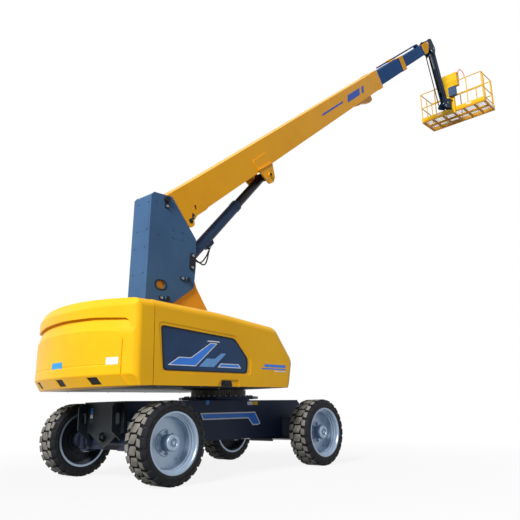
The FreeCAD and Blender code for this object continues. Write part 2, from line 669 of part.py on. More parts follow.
def boom_fly():
    tube = box_tube([(3900, -4), (FLY_END, -4), (FLY_END - 60, -318), (3900, -318)], FLY_HALF,
                    [(3890, -14), (FLY_END + 30, -14), (FLY_END - 30, -308), (3890, -308)], FLY_HALF - 10)
    head = slab([(12610, 8), (13120, 8, 60), (13170, -90, 60), (12850, -322, 40), (12530, -322)], "xz",
                FLY_HALF, FLY_HALF + 12)
    pin = bar(40, (NOSE_PIVOT[0], CHEEK_Y + 22, NOSE_PIVOT[1]), (NOSE_PIVOT[0], FLY_HALF + 26, NOSE_PIVOT[1]))
    sides = [part for shape in (head, pin) for part in pair(shape)]
    return on_boom(joined(tube, *sides))


def hose_tray():
    """Square duct over the boom's sections, held at the nose."""
    duct = slab([(9300, 57), (12500, 57), (12500, 93), (9300, 93)], "xz", -35, 35)
    foot = slab([(12380, -4), (12500, -4), (12500, 57), (12380, 57)], "xz", -60, 60)
    clip = slab([(10060, 70), (10230, 70), (10230, 108, 12), (10060, 108, 12)], "xz", -48, 48)
    return on_boom(joined(duct, foot, clip))


def lift_frame():
    """Length and slope of the lift cylinder, from its base pin to its eye."""
    eye = boom_point(*LIFT_EYE)
    run = (eye[0] - LIFT_BASE[0], eye[1] - LIFT_BASE[1])
    return math.hypot(*run), math.degrees(math.atan2(run[1], run[0]))


def lift_barrel():
    slope = lift_frame()[1]
    tube = bar(LIFT_BARREL_RADIUS, (90, 0, 0), (LIFT_BARREL_LENGTH, 0, 0))
    gland = bar(LIFT_BARREL_RADIUS + 6, (LIFT_BARREL_LENGTH - 90, 0, 0), (LIFT_BARREL_LENGTH, 0, 0))
    eye = cross_bar(95, 0, 0, 80)
    neck = bar(70, (0, 0, 0), (100, 0, 0))
    bore = bar(LIFT_ROD_RADIUS + FIT, (300, 0, 0), (LIFT_BARREL_LENGTH + 10, 0, 0))
    port = slab([(560, -88), (800, -88), (780, -150, 15), (600, -150, 15)], "xz", -40, 40)
    whole = joined(tube, gland, eye, neck, port).cut([bore, cross_bar(62, 0, 0, 100)])
    return turned(whole, LIFT_BASE, slope)


def lift_rod():
    length, slope = lift_frame()
    rod = bar(LIFT_ROD_RADIUS, (1000, 0, 0), (length - 80, 0, 0))
    eye = cross_bar(85, length, 0, 90)
    neck = bar(60, (length - 110, 0, 0), (length, 0, 0))
    return turned(joined(rod, eye, neck).cut(cross_bar(38 + FIT, length, 0, 120)), LIFT_BASE, slope)


# ---------------------------------------------------------------- jib

def beside(point, offset):
    return point[0] + offset[0], point[1] + offset[1]


def jib_base():
    """Levelling bracket on the boom's nose: it carries the jib, its links and its cylinder."""
    nose = boom_point(*NOSE_PIVOT)
    low = beside(JIB_UPPER, LINK_OFFSET)
    rod_pin = beside(JIB_UPPER, JIB_ROD_PIN)
    plate = [beside(nose, (-60, 30)) + (40,), (nose[0] + 120, 12330, 30), (9375, 12440, 30),
             beside(JIB_UPPER, (75, 60)) + (70,), beside(JIB_UPPER, (60, -90)) + (50,),
             beside(rod_pin, (40, -50)) + (40,), beside(low, (-30, -45)) + (40,),
             beside(nose, (-40, -60)) + (40,)]
    cheek = slab(plate, "xz", CHEEK_Y, CHEEK_Y + 18)
    ear_side = [beside(nose, (-40, 50)) + (40,), beside(nose, (60, 50)) + (30,),
                beside(rod_pin, (40, 30)) + (35,), beside(rod_pin, (30, -40)) + (35,),
                beside(nose, (-40, -50)) + (40,)]
    ear = slab(ear_side, "xz", 34, 48)
    tube = cross_bar(48, nose[0], nose[1], CHEEK_Y + 4)
    web_side = [(nose[0] + 100, 12290), (9340, 12405), (9348, 12391), (nose[0] + 108, 12276)]
    web = slab(web_side, "xz", -CHEEK_Y - 4, CHEEK_Y + 4)
    arm_pin = cross_bar(30, JIB_UPPER[0], JIB_UPPER[1], CHEEK_Y + 36)
    stub = bar(22, (low[0], LINK_Y - 8, low[1]), (low[0], CHEEK_Y + 34, low[1]))
    sides = [part for shape in (cheek, ear, stub) for part in pair(shape)]
    return joined(tube, web, arm_pin, *sides).cut(cross_bar(40.5, nose[0], nose[1], 300))


def jib_arm():
    """Channel open below, round-ended over its two pins."""
    side = [(-95, JIB_DEPTH - 30, 60), (-40, JIB_DEPTH), (JIB_LENGTH + 20, JIB_DEPTH, 60),
            (JIB_LENGTH + 90, 20, 60), (JIB_LENGTH + 60, -80, 60), (1500, -JIB_DEPTH), (60, -JIB_DEPTH, 30),
            (-95, -40, 60)]
    cheek = slab(side, "xz", JIB_HALF - 10, JIB_HALF)
    web = block(10, JIB_LENGTH - 60, -JIB_HALF, JIB_HALF, JIB_DEPTH - 10, JIB_DEPTH)
    pin_t, pin_p = JIB_BARREL_PIN
    pin = bar(28, (pin_t, 56, pin_p), (pin_t, JIB_HALF, pin_p))
    shapes = pair(cheek) + pair(pin)
    holes = [cross_bar(30 + FIT, 0, 0, 200), cross_bar(30 + FIT, JIB_LENGTH, 0, 200)]
    return on_jib(joined(web, *shapes).cut(holes))


def jib_link():
    """Pair of flat bars that keep the platform level."""
    low = beside(JIB_UPPER, LINK_OFFSET)
    strip = slab(rounded_box(-24, JIB_LENGTH + 24, -22.5, 22.5, 20), "xz", LINK_Y - 8, LINK_Y + 8)
    holes = [cross_bar(22 + FIT, 0, 0, 200), cross_bar(22 + FIT, JIB_LENGTH, 0, 200)]
    return group(*[turned(part, low, JIB_ANGLE) for part in pair(strip.cut(holes))])


def jib_cylinder_frame():
    base = jib_point(*JIB_BARREL_PIN)
    eye = beside(JIB_UPPER, JIB_ROD_PIN)
    run = (eye[0] - base[0], eye[1] - base[1])
    return base, math.hypot(*run), math.degrees(math.atan2(run[1], run[0]))


def jib_barrel():
    base, _, slope = jib_cylinder_frame()
    tube = bar(52, (20, 0, 0), (760, 0, 0))
    eye = cross_bar(50, 0, 0, 50)
    bore = bar(25 + FIT, (150, 0, 0), (800, 0, 0))
    return turned(joined(tube, eye).cut([bore, cross_bar(28 + FIT, 0, 0, 80)]), base, slope)


def jib_rod():
    base, length, slope = jib_cylinder_frame()
    rod = bar(25, (400, 0, 0), (length, 0, 0))
    eye = cross_bar(40, length, 0, 28)
    return turned(joined(rod, eye).cut(cross_bar(22, length, 0, 60)), base, slope)


def jib_head():
    """Bracket at the jib's lower end, with the platform's swivel drive."""
    upper = jib_point(JIB_LENGTH, 0)
    low = beside(upper, LINK_OFFSET)
    cheek = slab([(upper[0] - 40, upper[1] + 60, 50), (10340, upper[1] + 90, 40), (10440, 10520),
                  (10440, 10346), (10372, 10346, 20), (low[0] + 20, low[1] - 52, 40),
                  (low[0] - 45, low[1] - 10, 40)], "xz", CHEEK_Y, CHEEK_Y + 18)
    drive = bar(92, (SWIVEL_X, 0, 10340), (SWIVEL_X, 0, 10740))
    web = block(10330, 10440, -CHEEK_Y - 4, CHEEK_Y + 4, 10400, 10500)
    pin = cross_bar(30, upper[0], upper[1], CHEEK_Y + 36)
    stub = bar(22, (low[0], LINK_Y - 8, low[1]), (low[0], CHEEK_Y + 34, low[1]))
    sides = [part for shape in (cheek, stub) for part in pair(shape)]
    return joined(drive, web, pin, *sides)


# ---------------------------------------------------------------- platform

def platform_outline(inset):
    """Plan of the platform, drawn in by the inset."""
    radius = max(PLATFORM_CORNER - inset, 0.0)
    near, far, half = PLATFORM_NEAR + inset, PLATFORM_FAR - inset, PLATFORM_HALF - inset
    return [(near, -half, radius), (far, -half, radius), (far, half, radius), (near, half, radius)]


def platform_floor():
    """Floor plate on a frame of beams, with the mast that carries it on the swivel."""
    z = PLATFORM_BOTTOM
    outer = slab(platform_outline(0), "xy", z, z + 60)
    near, far, half = PLATFORM_NEAR + 50, PLATFORM_FAR - 50, PLATFORM_HALF - 50
    inner = block(near, far, -half, half, z - 10, z + 70)
    beams = [block(near - 10, far + 10, y - 25, y + 25, z, z + 60) for y in (-730, -365, 0, 365, 730)]
    long_beam = block(11180, 11240, -half - 10, half + 10, z, z + 60)
    return joined(outer.cut(inner), long_beam, *beams)


def deck_panel():
    """Deck plate laid on the floor's beams, inside the toe boards and posts."""
    inset = RAIL_INSET + RAIL_RADIUS + 4
    return slab(platform_outline(inset), "xy", PLATFORM_BOTTOM + 60, PLATFORM_BOTTOM + 66)


def platform_mast():
    plate = block(10680, PLATFORM_NEAR, -150, 150, PLATFORM_BOTTOM, 11300)
    tongue = [(SWIVEL_X - 90, -90, 80), (SWIVEL_X - 90, 90, 80), (10690, 120), (10690, -120)]
    arms = [slab(tongue, "xy", low, high) for low, high in ((10296, 10335), (10745, 10784))]
    spine = block(10660, 10690, -150, 150, 10296, 10784)
    return joined(plate, spine, *arms)


def toe_boards():
    z = PLATFORM_BOTTOM + 60
    outer = slab(platform_outline(0), "xy", z, PLATFORM_BOTTOM + TOE_HEIGHT)
    inner = slab(platform_outline(6), "xy", z - 5, z + 300)
    doorway = block(10935, 11545, -PLATFORM_HALF - 20, -PLATFORM_HALF + 40, z + 20, z + 300)
    return outer.cut([inner, doorway])


def rails():
    """Top and middle rails on posts, open at the gate."""
    x0 = PLATFORM_NEAR + RAIL_INSET
    x1 = PLATFORM_FAR - RAIL_INSET
    y1 = PLATFORM_HALF - RAIL_INSET
    top = PLATFORM_BOTTOM + RAIL_HEIGHT - RAIL_RADIUS
    middle = PLATFORM_BOTTOM + 560
    foot = PLATFORM_BOTTOM + 60
    tubes = []
    for z in (top, middle):
        tubes.append(round_tube(RAIL_RADIUS, (x1, -y1, z), (x1, y1, z)))
        tubes.append(round_tube(RAIL_RADIUS, (x0, y1, z), (x1, y1, z)))
        tubes.append(round_tube(RAIL_RADIUS, (x0, -y1, z), (x0, y1, z)))
        tubes.append(round_tube(RAIL_RADIUS, (x0, -y1, z), (10910, -y1, z)))
        tubes.append(round_tube(RAIL_RADIUS, (11570, -y1, z), (x1, -y1, z)))
    posts = [(x0, y1), (x1, y1), (x0, -y1), (x1, -y1), (10910, -y1), (11570, -y1), (x0, 560), (x0, -560),
             (x1, 560), (x1, 0), (x1, -560), ((x0 + x1) / 2, y1)]
    for x, y in posts:
        tubes.append(round_tube(RAIL_RADIUS, (x, y, foot), (x, y, top)))
    return joined(*tubes)


def gate():
    """Gate of two rails in a frame, hung on the nearer post."""
    y = -PLATFORM_HALF + 24
    z0 = PLATFORM_BOTTOM + 200
    z1 = PLATFORM_BOTTOM + RAIL_HEIGHT - RAIL_RADIUS
    z_mid = PLATFORM_BOTTOM + 560
    low_x = 10960
    high_x = 11535
    frame = [round_tube(14, (low_x, y, z0), (low_x, y, z1)), round_tube(14, (high_x, y, z0), (high_x, y, z1))]
    frame += [round_tube(14, (low_x, y, z), (high_x, y, z)) for z in (z0, z_mid, z1)]
    return joined(*frame)


def console():
    """Control console with its cover, on the rail over the mast."""
    profile = [(10745, 11300), (10870, 11300), (10900, 11500, 30), (10900, 11700, 60), (10820, 11790, 50),
               (10690, 11765, 30), (10690, 11470, 30)]
    rail_z = PLATFORM_BOTTOM + RAIL_HEIGHT - RAIL_RADIUS
    channel = cross_bar(RAIL_RADIUS + 0.5, PLATFORM_NEAR + RAIL_INSET, rail_z, 400)
    return slab(profile, "xz", -CONSOLE_RIGHT, 200).cut(channel)


def control_box():
    return slab(rounded_box(10560, 10680, 10870, 11210, 20), "xz", -265, -25)


def guard_bar():
    """Hoop from the console's side out and down to the top rail."""
    x = PLATFORM_NEAR + RAIL_INSET
    foot = PLATFORM_BOTTOM + RAIL_HEIGHT - RAIL_RADIUS + RAIL_RADIUS * math.cos(math.pi / 8)
    bends = [(-CONSOLE_RIGHT, 11715), (-325, 11715), (-352, 11815), (-402, 11838), (-472, 11745),
             (-524, 11590), (-524, foot)]
    return bent_tube(13, [(x, y, z) for y, z in bends])


NODES = {
    "chassis_frame": chassis_frame(), "slew_ring": slew_ring(),
    "axle_rear": axle(REAR_AXLE_X), "axle_front": axle(FRONT_AXLE_X),
    "tie_rod_rear": tie_rod(REAR_AXLE_X), "tie_rod_front": tie_rod(FRONT_AXLE_X),
    "turntable": turntable(), "counterweight": counterweight(), "front_cover": front_cover(),
    "engine": engine(), "tank": tank(), "tower": tower(),
    "boom_base": boom_base(), "boom_mid": boom_mid(), "boom_fly": boom_fly(), "hose_tray": hose_tray(),
    "lift_barrel": lift_barrel(), "lift_rod": lift_rod(),
    "jib_base": jib_base(), "jib_arm": jib_arm(), "jib_link": jib_link(), "jib_barrel": jib_barrel(),
    "jib_rod": jib_rod(), "jib_head": jib_head(),
    "platform_mast": platform_mast(), "platform_floor": platform_floor(), "deck_panel": deck_panel(),
    "toe_boards": toe_boards(), "rails": rails(), "gate": gate(), "console": console(),
    "control_box": control_box(), "guard_bar": guard_bar(),
}
for name, build in (("hood", hood_right), ("window", window_right), ("latch", latch_right)):
    NODES[name + "_right"], NODES[name + "_left"] = pair(build())
for corner in CORNERS:
    NODES["tyre_" + corner] = at_corner(tyre(), corner)
    NODES["rim_" + corner] = at_corner(rim(), corner)
    NODES["knuckle_" + corner] = knuckle(corner)

os.makedirs("parts", exist_ok=True)
for name, shape in NODES.items():
    shape.exportStep("parts/" + name + ".step")
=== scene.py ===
import bpy
import bmesh
import math
from mathutils import Euler, Matrix, Quaternion, Vector


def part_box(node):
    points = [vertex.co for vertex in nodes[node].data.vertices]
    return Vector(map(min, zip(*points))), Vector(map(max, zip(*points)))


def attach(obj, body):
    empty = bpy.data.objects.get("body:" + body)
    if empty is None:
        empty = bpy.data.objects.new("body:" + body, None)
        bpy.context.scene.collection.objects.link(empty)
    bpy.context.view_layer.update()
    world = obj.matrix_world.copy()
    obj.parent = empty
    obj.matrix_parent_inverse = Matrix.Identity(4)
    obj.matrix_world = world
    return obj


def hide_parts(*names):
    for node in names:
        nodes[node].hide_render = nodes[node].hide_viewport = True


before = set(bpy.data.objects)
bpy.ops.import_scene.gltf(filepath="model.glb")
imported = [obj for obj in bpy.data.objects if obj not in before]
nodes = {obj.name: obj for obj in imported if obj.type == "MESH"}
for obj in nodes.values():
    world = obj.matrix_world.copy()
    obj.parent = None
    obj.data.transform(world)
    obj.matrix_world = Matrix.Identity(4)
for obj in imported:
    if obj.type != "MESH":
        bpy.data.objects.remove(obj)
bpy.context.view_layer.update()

# ---- Camera and studio
# A camera stands low beside the rear right wheel and looks up along the boom. The machine stands on
# a pale matt floor that fades to white, under an even sky, with one broad lamp high behind its tail.
eye = bpy.data.cameras.new("eye")
eye.lens = 39.88
eye.sensor_width = 36.0
eye.clip_end = 200.0
camera = bpy.data.objects.new("camera", eye)
camera.location = (-6.582, -7.014, 0.908)
bearing, tilt_up, roll = 42.528, 14.396, -1.186
heading = Euler((math.radians(90 + tilt_up), 0.0, math.radians(bearing - 90)))
camera.rotation_mode = "QUATERNION"
camera.rotation_quaternion = heading.to_quaternion() @ Quaternion((0, 0, 1), math.radians(roll))
bpy.context.scene.collection.objects.link(camera)
bpy.context.scene.camera = camera
bpy.context.scene.view_settings.view_transform = "Standard"


def linear(hex_code):
    """An sRGB hex colour as the linear colour that a shader socket takes."""
    shares = [int(hex_code[i:i + 2], 16) / 255 for i in (1, 3, 5)]
    return tuple(c / 12.92 if c <= 0.04045 else ((c + 0.055) / 1.055) ** 2.4 for c in shares) + (1.0,)


def add_node(tree, kind, settings=None, **sockets):
    """Adds a shader node. A socket is named with _ for each space, or in0, in1 by its place in the list;
    its value is a number, a colour or another node's output."""
    added = tree.nodes.new("ShaderNode" + kind)
    for name, value in (settings or {}).items():
        setattr(added, name, value)
    for name, value in sockets.items():
        socket = added.inputs[int(name[2:])] if name[2:].isdigit() else added.inputs[name.replace("_", " ")]
        if isinstance(value, bpy.types.NodeSocket):
            tree.links.new(value, socket)
        else:
            socket.default_value = value
    return added


def bare_material(name):
    """A material with no nodes yet, and its node tree."""
    material = bpy.data.materials.new(name)
    material.use_nodes = True
    material.node_tree.nodes.clear()
    return material, material.node_tree


def white_to_eye(tree, lit, share):
    """Mixes a lit shader with plain white, for camera, mirror and glass rays, by the share given."""
    rays = add_node(tree, "LightPath")
    seen = add_node(tree, "Math", {"operation": "MAXIMUM"}, in0=rays.outputs["Is Camera Ray"],
                    in1=rays.outputs["Is Glossy Ray"])
    seen = add_node(tree, "Math", {"operation": "MAXIMUM"}, in0=seen.outputs[0],
                    in1=rays.outputs["Is Transmission Ray"])
    part = add_node(tree, "Math", {"operation": "MULTIPLY"}, in0=seen.outputs[0], in1=share)
    white = add_node(tree, "Emission", Color=(1.0, 1.0, 1.0, 1.0), Strength=1.0)
    return add_node(tree, "MixShader", in0=part.outputs[0], in1=lit, in2=white.outputs[0]).outputs[0]


floor_radius = 60.0
floor_mesh = bpy.data.meshes.new("studio_floor")
shape = bmesh.new()
bmesh.ops.create_circle(shape, cap_ends=True, segments=96, radius=floor_radius)
shape.to_mesh(floor_mesh)
shape.free()
floor = bpy.data.objects.new("studio_floor", floor_mesh)
bpy.context.scene.collection.objects.link(floor)
floor_paint, tree = bare_material("matt floor paint")
place = add_node(tree, "TexCoord").outputs["Object"]
reach = add_node(tree, "VectorMath", {"operation": "LENGTH"}, in0=place)
fade = add_node(tree, "MapRange", in0=reach.outputs["Value"], in1=3.0, in2=7.5, in3=0.88, in4=1.0)
matt = add_node(tree, "BsdfDiffuse", Color=linear("#A0A0A0"), Roughness=1.0)
shown = white_to_eye(tree, matt.outputs[0], fade.outputs[0])
add_node(tree, "OutputMaterial", Surface=shown)
floor_mesh.materials.append(floor_paint)

sky = bpy.data.worlds.new("sky")
bpy.context.scene.world = sky
sky.use_nodes = True
sky.node_tree.nodes.clear()
even = add_node(sky.node_tree, "Background", Color=linear("#E9F1FF"), Strength=0.36)
shown = white_to_eye(sky.node_tree, even.outputs[0], 1.0)
add_node(sky.node_tree, "OutputWorld", Surface=shown)

lamp = bpy.data.lights.new("key", "AREA")
lamp.shape = "DISK"
lamp.size = 18.0
lamp.energy = 44500.0
lamp_aim = Vector((0.5, 0.0, 3.5))
key = bpy.data.objects.new("key", lamp)
key.location = (-46.0, -13.0, 36.0)
key.rotation_mode = "QUATERNION"
key.rotation_quaternion = (lamp_aim - key.location).to_track_quat("-Z", "Y")
bpy.context.scene.collection.objects.link(key)


# ---- Chassis
# A welded box of steel plate in dark blue two-pack paint, with its end walls, lashing plates and
# tow lugs. The paint is sprayed, a little uneven in tone, and dusty low down where the wheels throw.
def sprayed_paint(name, colour, worn, dress=None, rough=(0.34, 0.5), dust=0.0, dust_top=1.0, grain=0.03,
                  gloss=0.22, metal=0.0):
    """Two-pack paint on steel: colour that drifts towards the worn tone over about 700 mm, an
    orange-peel skin drawn at 9 mm, fine scuffs of 40 mm, and dust that thins out up to dust_top.
    A dress function may mask off a part of the colour."""
    material, tree = bare_material(name)
    place = add_node(tree, "TexCoord").outputs["Object"]
    cloud = add_node(tree, "TexNoise", Vector=place, Scale=1 / 0.7, Detail=4.0, Roughness=0.6)
    drift = add_node(tree, "MapRange", in0=cloud.outputs[0], in1=0.35, in2=0.75, in3=0.0, in4=1.0)
    tone = add_node(tree, "Mix", {"data_type": "RGBA"}, in0=drift.outputs[0], in6=linear(colour),
                    in7=linear(worn)).outputs[2]
    if dress:
        tone = dress(tree, place, tone)
    scuff = add_node(tree, "TexNoise", Vector=place, Scale=1 / 0.04, Detail=6.0, Roughness=0.7)
    if dust:
        height = add_node(tree, "SeparateXYZ", Vector=place).outputs["Z"]
        low = add_node(tree, "MapRange", in0=height, in1=0.3, in2=dust_top, in3=dust, in4=0.0)
        spread = add_node(tree, "Math", {"operation": "MULTIPLY"}, in0=low.outputs[0], in1=scuff.outputs[0])
        tone = add_node(tree, "Mix", {"data_type": "RGBA"}, in0=spread.outputs[0], in6=tone,
                        in7=linear("#8A8378")).outputs[2]
    dull = add_node(tree, "MapRange", in0=scuff.outputs[0], in1=0.3, in2=0.7, in3=rough[0], in4=rough[1])
    peel = add_node(tree, "TexNoise", Vector=place, Scale=1 / 0.009, Detail=1.0)
    skin = add_node(tree, "Bump", Height=peel.outputs[0], Strength=grain, Distance=0.0001)
    shader = add_node(tree, "BsdfPrincipled", Base_Color=tone, Roughness=dull.outputs[0],
                      Specular_IOR_Level=gloss, Metallic=metal, Normal=skin.outputs[0])
    add_node(tree, "OutputMaterial", Surface=shader.outputs[0])
    return material


def finish_nodes(material, *names):
    """Gives pieces that came with the frame their finish."""
    for name in names:
        nodes[name].data.materials.clear()
        nodes[name].data.materials.append(material)


def new_piece(name, shape, body, slot, *materials):
    """Makes a closed mesh into a piece of the machine that moves with a body. A face takes the material
    whose place in the list is the face's finish."""
    bmesh.ops.recalc_face_normals(shape, faces=shape.faces[:])
    mesh = bpy.data.meshes.new(name)
    shape.to_mesh(mesh)
    shape.free()
    mesh.shade_smooth()
    mesh.set_sharp_from_angle(angle=math.radians(35))
    for material in materials:
        mesh.materials.append(material)
    piece = bpy.data.objects.new(name, mesh)
    bpy.context.scene.collection.objects.link(piece)
    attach(piece, body)
    return piece


def add_plate(shape, corners, step, round_off=0.0, finish=0, border=0.0, border_finish=1):
    """A flat plate from its corners in order and the step through its thickness. Its corners may be
    rounded off, and a border of some width has its own finish."""
    known = set(shape.faces)
    spots = [shape.verts.new(corner) for corner in corners]
    shape.faces.new(spots)
    if round_off:
        bmesh.ops.bevel(shape, geom=spots, offset=round_off, segments=4, profile=0.5, affect="VERTICES",
                        material=-1)
    drawn = [face for face in shape.faces if face not in known]
    for face in drawn:
        face.material_index = finish
    if border:
        shape.normal_update()
        rim = bmesh.ops.inset_region(shape, faces=drawn, thickness=border, use_even_offset=True,
                                     use_boundary=True)["faces"]
        for face in rim:
            face.material_index = border_finish
        drawn = drawn + rim
    thicken(shape, drawn, step)


def thicken(shape, drawn, step):
    """Turns flat faces into a closed plate by the step through its thickness."""
    made = bmesh.ops.extrude_face_region(shape, geom=drawn)["geom"]
    bmesh.ops.translate(shape, vec=step, verts=[v for v in made if isinstance(v, bmesh.types.BMVert)])


def side_quad(y, x0, x1, z0, z1):
    """The corners of an upright rectangle on a face that looks sideways."""
    return [(x0, y, z0), (x1, y, z0), (x1, y, z1), (x0, y, z1)]


def end_quad(x, y0, y1, z0, z1):
    """The corners of an upright rectangle on a face that looks forward or back."""
    return [(x, y0, z0), (x, y1, z0), (x, y1, z1), (x, y0, z1)]


def add_bolts(shape, places, way, radius, height, sides=6):
    """Bolt or pin heads that stand off a face the way given. A size is a radius, a height and, for a round
    head, its number of sides."""
    way = Vector(way).normalized()
    turn = way.to_track_quat("Z", "Y").to_matrix().to_4x4()
    for place in places:
        middle = Vector(place) + way * (height / 2)
        bmesh.ops.create_cone(shape, cap_ends=True, segments=sides, radius1=radius, radius2=radius * 0.9,
                              depth=height, matrix=Matrix.Translation(middle) @ turn)


def ring_places(count, radius, start=0.0):
    """Places spaced evenly round a circle, as pairs; start is given in steps."""
    turns = [2 * math.pi * (i + start) / count for i in range(count)]
    return [(radius * math.cos(turn), radius * math.sin(turn)) for turn in turns]


def plain_finish(name, colour, rough=0.5, metal=0.0, speck=0.006, tone=0.25, lift=0.03):
    """A plain moulded, printed or bare metal skin: its tone drifts over 120 mm and its shine varies with a
    fine speck."""
    material, tree = bare_material(name)
    place = add_node(tree, "TexCoord").outputs["Object"]
    grain = add_node(tree, "TexNoise", Vector=place, Scale=1 / speck, Detail=3.0, Roughness=0.6)
    wide = add_node(tree, "TexNoise", Vector=place, Scale=1 / 0.12, Detail=3.0)
    share = add_node(tree, "MapRange", in0=wide.outputs[0], in1=0.3, in2=0.7, in3=1.0 - tone,
                     in4=1.0 + tone / 2)
    shade = add_node(tree, "VectorMath", {"operation": "SCALE"}, in0=linear(colour)[:3],
                     Scale=share.outputs[0])
    dull = add_node(tree, "MapRange", in0=grain.outputs[0], in1=0.3, in2=0.7, in3=rough - 0.08,
                    in4=rough + 0.08)
    skin = add_node(tree, "Bump", Height=grain.outputs[0], Strength=lift * 4, Distance=0.0002)
    shader = add_node(tree, "BsdfPrincipled", Base_Color=shade.outputs[0], Roughness=dull.outputs[0],
                      Metallic=metal, Specular_IOR_Level=0.25, Normal=skin.outputs[0])
    add_node(tree, "OutputMaterial", Surface=shader.outputs[0])
    return material


def rear_wall_painted_shade(tree, place, tone):
    """Painted shade: the paint on the rear wall and its plates turns near black blue, from 60 mm inside the
    wall outward, standing in for the turret's shadow.
    """
    reach = add_node(tree, "SeparateXYZ", Vector=place).outputs["X"]
    rear = add_node(tree, "Math", {"operation": "LESS_THAN"}, in0=reach, in1=-2.058)
    return add_node(tree, "Mix", {"data_type": "RGBA"}, in0=rear.outputs[0], in6=tone,
                    in7=linear("#161D23")).outputs[2]


# The chassis paint carries painted shade on its rear wall, in place of the turret's shadow there.
chassis_paint = sprayed_paint("dark blue chassis paint", "#202D48", "#1A2640", rear_wall_painted_shade, dust=0.08,
                              dust_top=0.95, gloss=0.15)
finish_nodes(chassis_paint, "chassis_frame")

# Vinyl labels on the chassis: a slanted blue stripe with a pale edge on each side, and small blank
# labels. Cut film, stuck on flat, and drawn 1 mm thick so that it has real edges.
blue_film = plain_finish("blue vinyl film", "#3F86E8", rough=0.35, tone=0.1)
pale_film = plain_finish("white vinyl film", "#E9ECEF", rough=0.4, tone=0.08)
amber_film = plain_finish("yellow vinyl film", "#F0B81E", rough=0.4, tone=0.08)
film = 0.001
frame_half = 0.48
rear_wall, front_wall = -2.118, 1.429
stripe = [(-0.812, 0.852), (0.352, 0.852), (0.470, 0.672), (0.420, 0.646), (0.290, 0.646), (0.190, 0.752),
          (-0.760, 0.752)]
for side, name in ((-1, "right"), (1, "left")):
    skin = side * frame_half
    step = (0, side * film, 0)
    shape = bmesh.new()
    add_plate(shape, [(x, skin, z) for x, z in stripe], step, border=0.018)
    add_plate(shape, side_quad(skin, -0.700, -0.640, 0.970, 1.030), step)
    add_plate(shape, side_quad(skin, 0.176, 0.292, 0.956, 1.010), step, round_off=0.006, finish=1)
    add_plate(shape, side_quad(skin, 0.302, 0.416, 0.956, 1.010), step, round_off=0.006, finish=2)
    new_piece("chassis_labels_" + name, shape, "chassis", "chassis_navy", blue_film, pale_film, amber_film)

# Bolts of the slewing ring's seat in zinc-plated steel, and the tow lugs' pins and the walls' plugs in
# blacked steel.
zinc = plain_finish("zinc plated steel", "#8B8F94", rough=0.42, metal=0.8)
black_steel = plain_finish("blacked steel", "#1B1C1F", rough=0.5, metal=0.3)
seat_top, bolt_circle = 1.09, 0.54
seat_bolt, wall_plug = (0.016, 0.018), (0.010, 0.008)
shape = bmesh.new()
seat_places = [(x, y, seat_top) for x, y in ring_places(40, bolt_circle, 0.5)]
add_bolts(shape, seat_places, (0, 0, 1), *seat_bolt)
new_piece("seat_bolts", shape, "chassis", "gear_steel", zinc)
tow_eye_z, lug_reach = 0.574, 0.034
pin_radius, pin_length = 0.025, 0.19
shape = bmesh.new()
for wall_x, way in ((rear_wall, -1), (front_wall, 1)):
    middle = Matrix.Translation((wall_x + way * lug_reach, 0, tow_eye_z))
    bmesh.ops.create_cone(shape, cap_ends=True, segments=24, radius1=pin_radius, radius2=pin_radius,
                          depth=pin_length, matrix=middle @ Matrix.Rotation(math.pi / 2, 4, "X"))
    plugs = [(wall_x, y, z) for y in (-0.30, 0.30) for z in (0.70, 0.93)]
    add_bolts(shape, plugs, (way, 0, 0), *wall_plug)
new_piece("tow_pins", shape, "chassis", "gear_steel", black_steel)
shape = bmesh.new()
for z0, z1, kind in ((0.868, 0.950, 0), (0.815, 0.862, 1)):
    spots = end_quad(rear_wall, 0.266, 0.323, z0, z1)
    add_plate(shape, spots, (-film, 0, 0), round_off=0.008, finish=kind)
new_piece("rear_wall_labels", shape, "chassis", "chassis_navy", blue_film, pale_film)

# ---- Slewing ring and steering linkage
# A gear ring with outer teeth, hobbed from forged steel and greased, and the two tie rods, turned and
# ground from bright steel bar.
greased_steel = plain_finish("greased gear steel", "#4A4844", rough=0.38, metal=0.75, speck=0.02, tone=0.4)
ground_steel = plain_finish("ground rod steel", "#8E9196", rough=0.3, metal=0.9)
finish_nodes(greased_steel, "slew_ring")
finish_nodes(ground_steel, "tie_rod_rear", "tie_rod_front")

# ---- Axles and knuckles
# Cast and welded steel under the same blue paint, dustier than the frame. Kingpin caps with four
# bolts close the jaws above and below.
axle_paint = sprayed_paint("dark blue axle paint", "#1E2840", "#161D2F", dust=0.16, dust_top=0.9,
                           rough=(0.45, 0.62))
finish_nodes(axle_paint, "axle_rear", "axle_front")
rear_axle, front_axle = -1.878, 1.189
kingpin_y = 0.82
corners = {"rear_right": (rear_axle, -1), "rear_left": (rear_axle, 1), "front_right": (front_axle, -1),
           "front_left": (front_axle, 1)}
for corner in corners:
    finish_nodes(axle_paint, "knuckle_" + corner)
cap_thick, bolt_step = 0.014, 0.032
kingpin_cap, cap_bolt = (0.054, cap_thick, 24), (0.008, 0.007)
shape = bmesh.new()
for axle_x, side in corners.values():
    for jaw_z, up in ((0.662, 1), (0.362, -1)):
        add_bolts(shape, [(axle_x, side * kingpin_y, jaw_z)], (0, 0, up), *kingpin_cap)
        spots = [(axle_x + a * bolt_step, side * kingpin_y + b * bolt_step, jaw_z + up * cap_thick)
                 for a in (-1, 1) for b in (-1, 1)]
        add_bolts(shape, spots, (0, 0, up), *cap_bolt)
new_piece("kingpin_caps", shape, "chassis", "gear_steel", zinc)

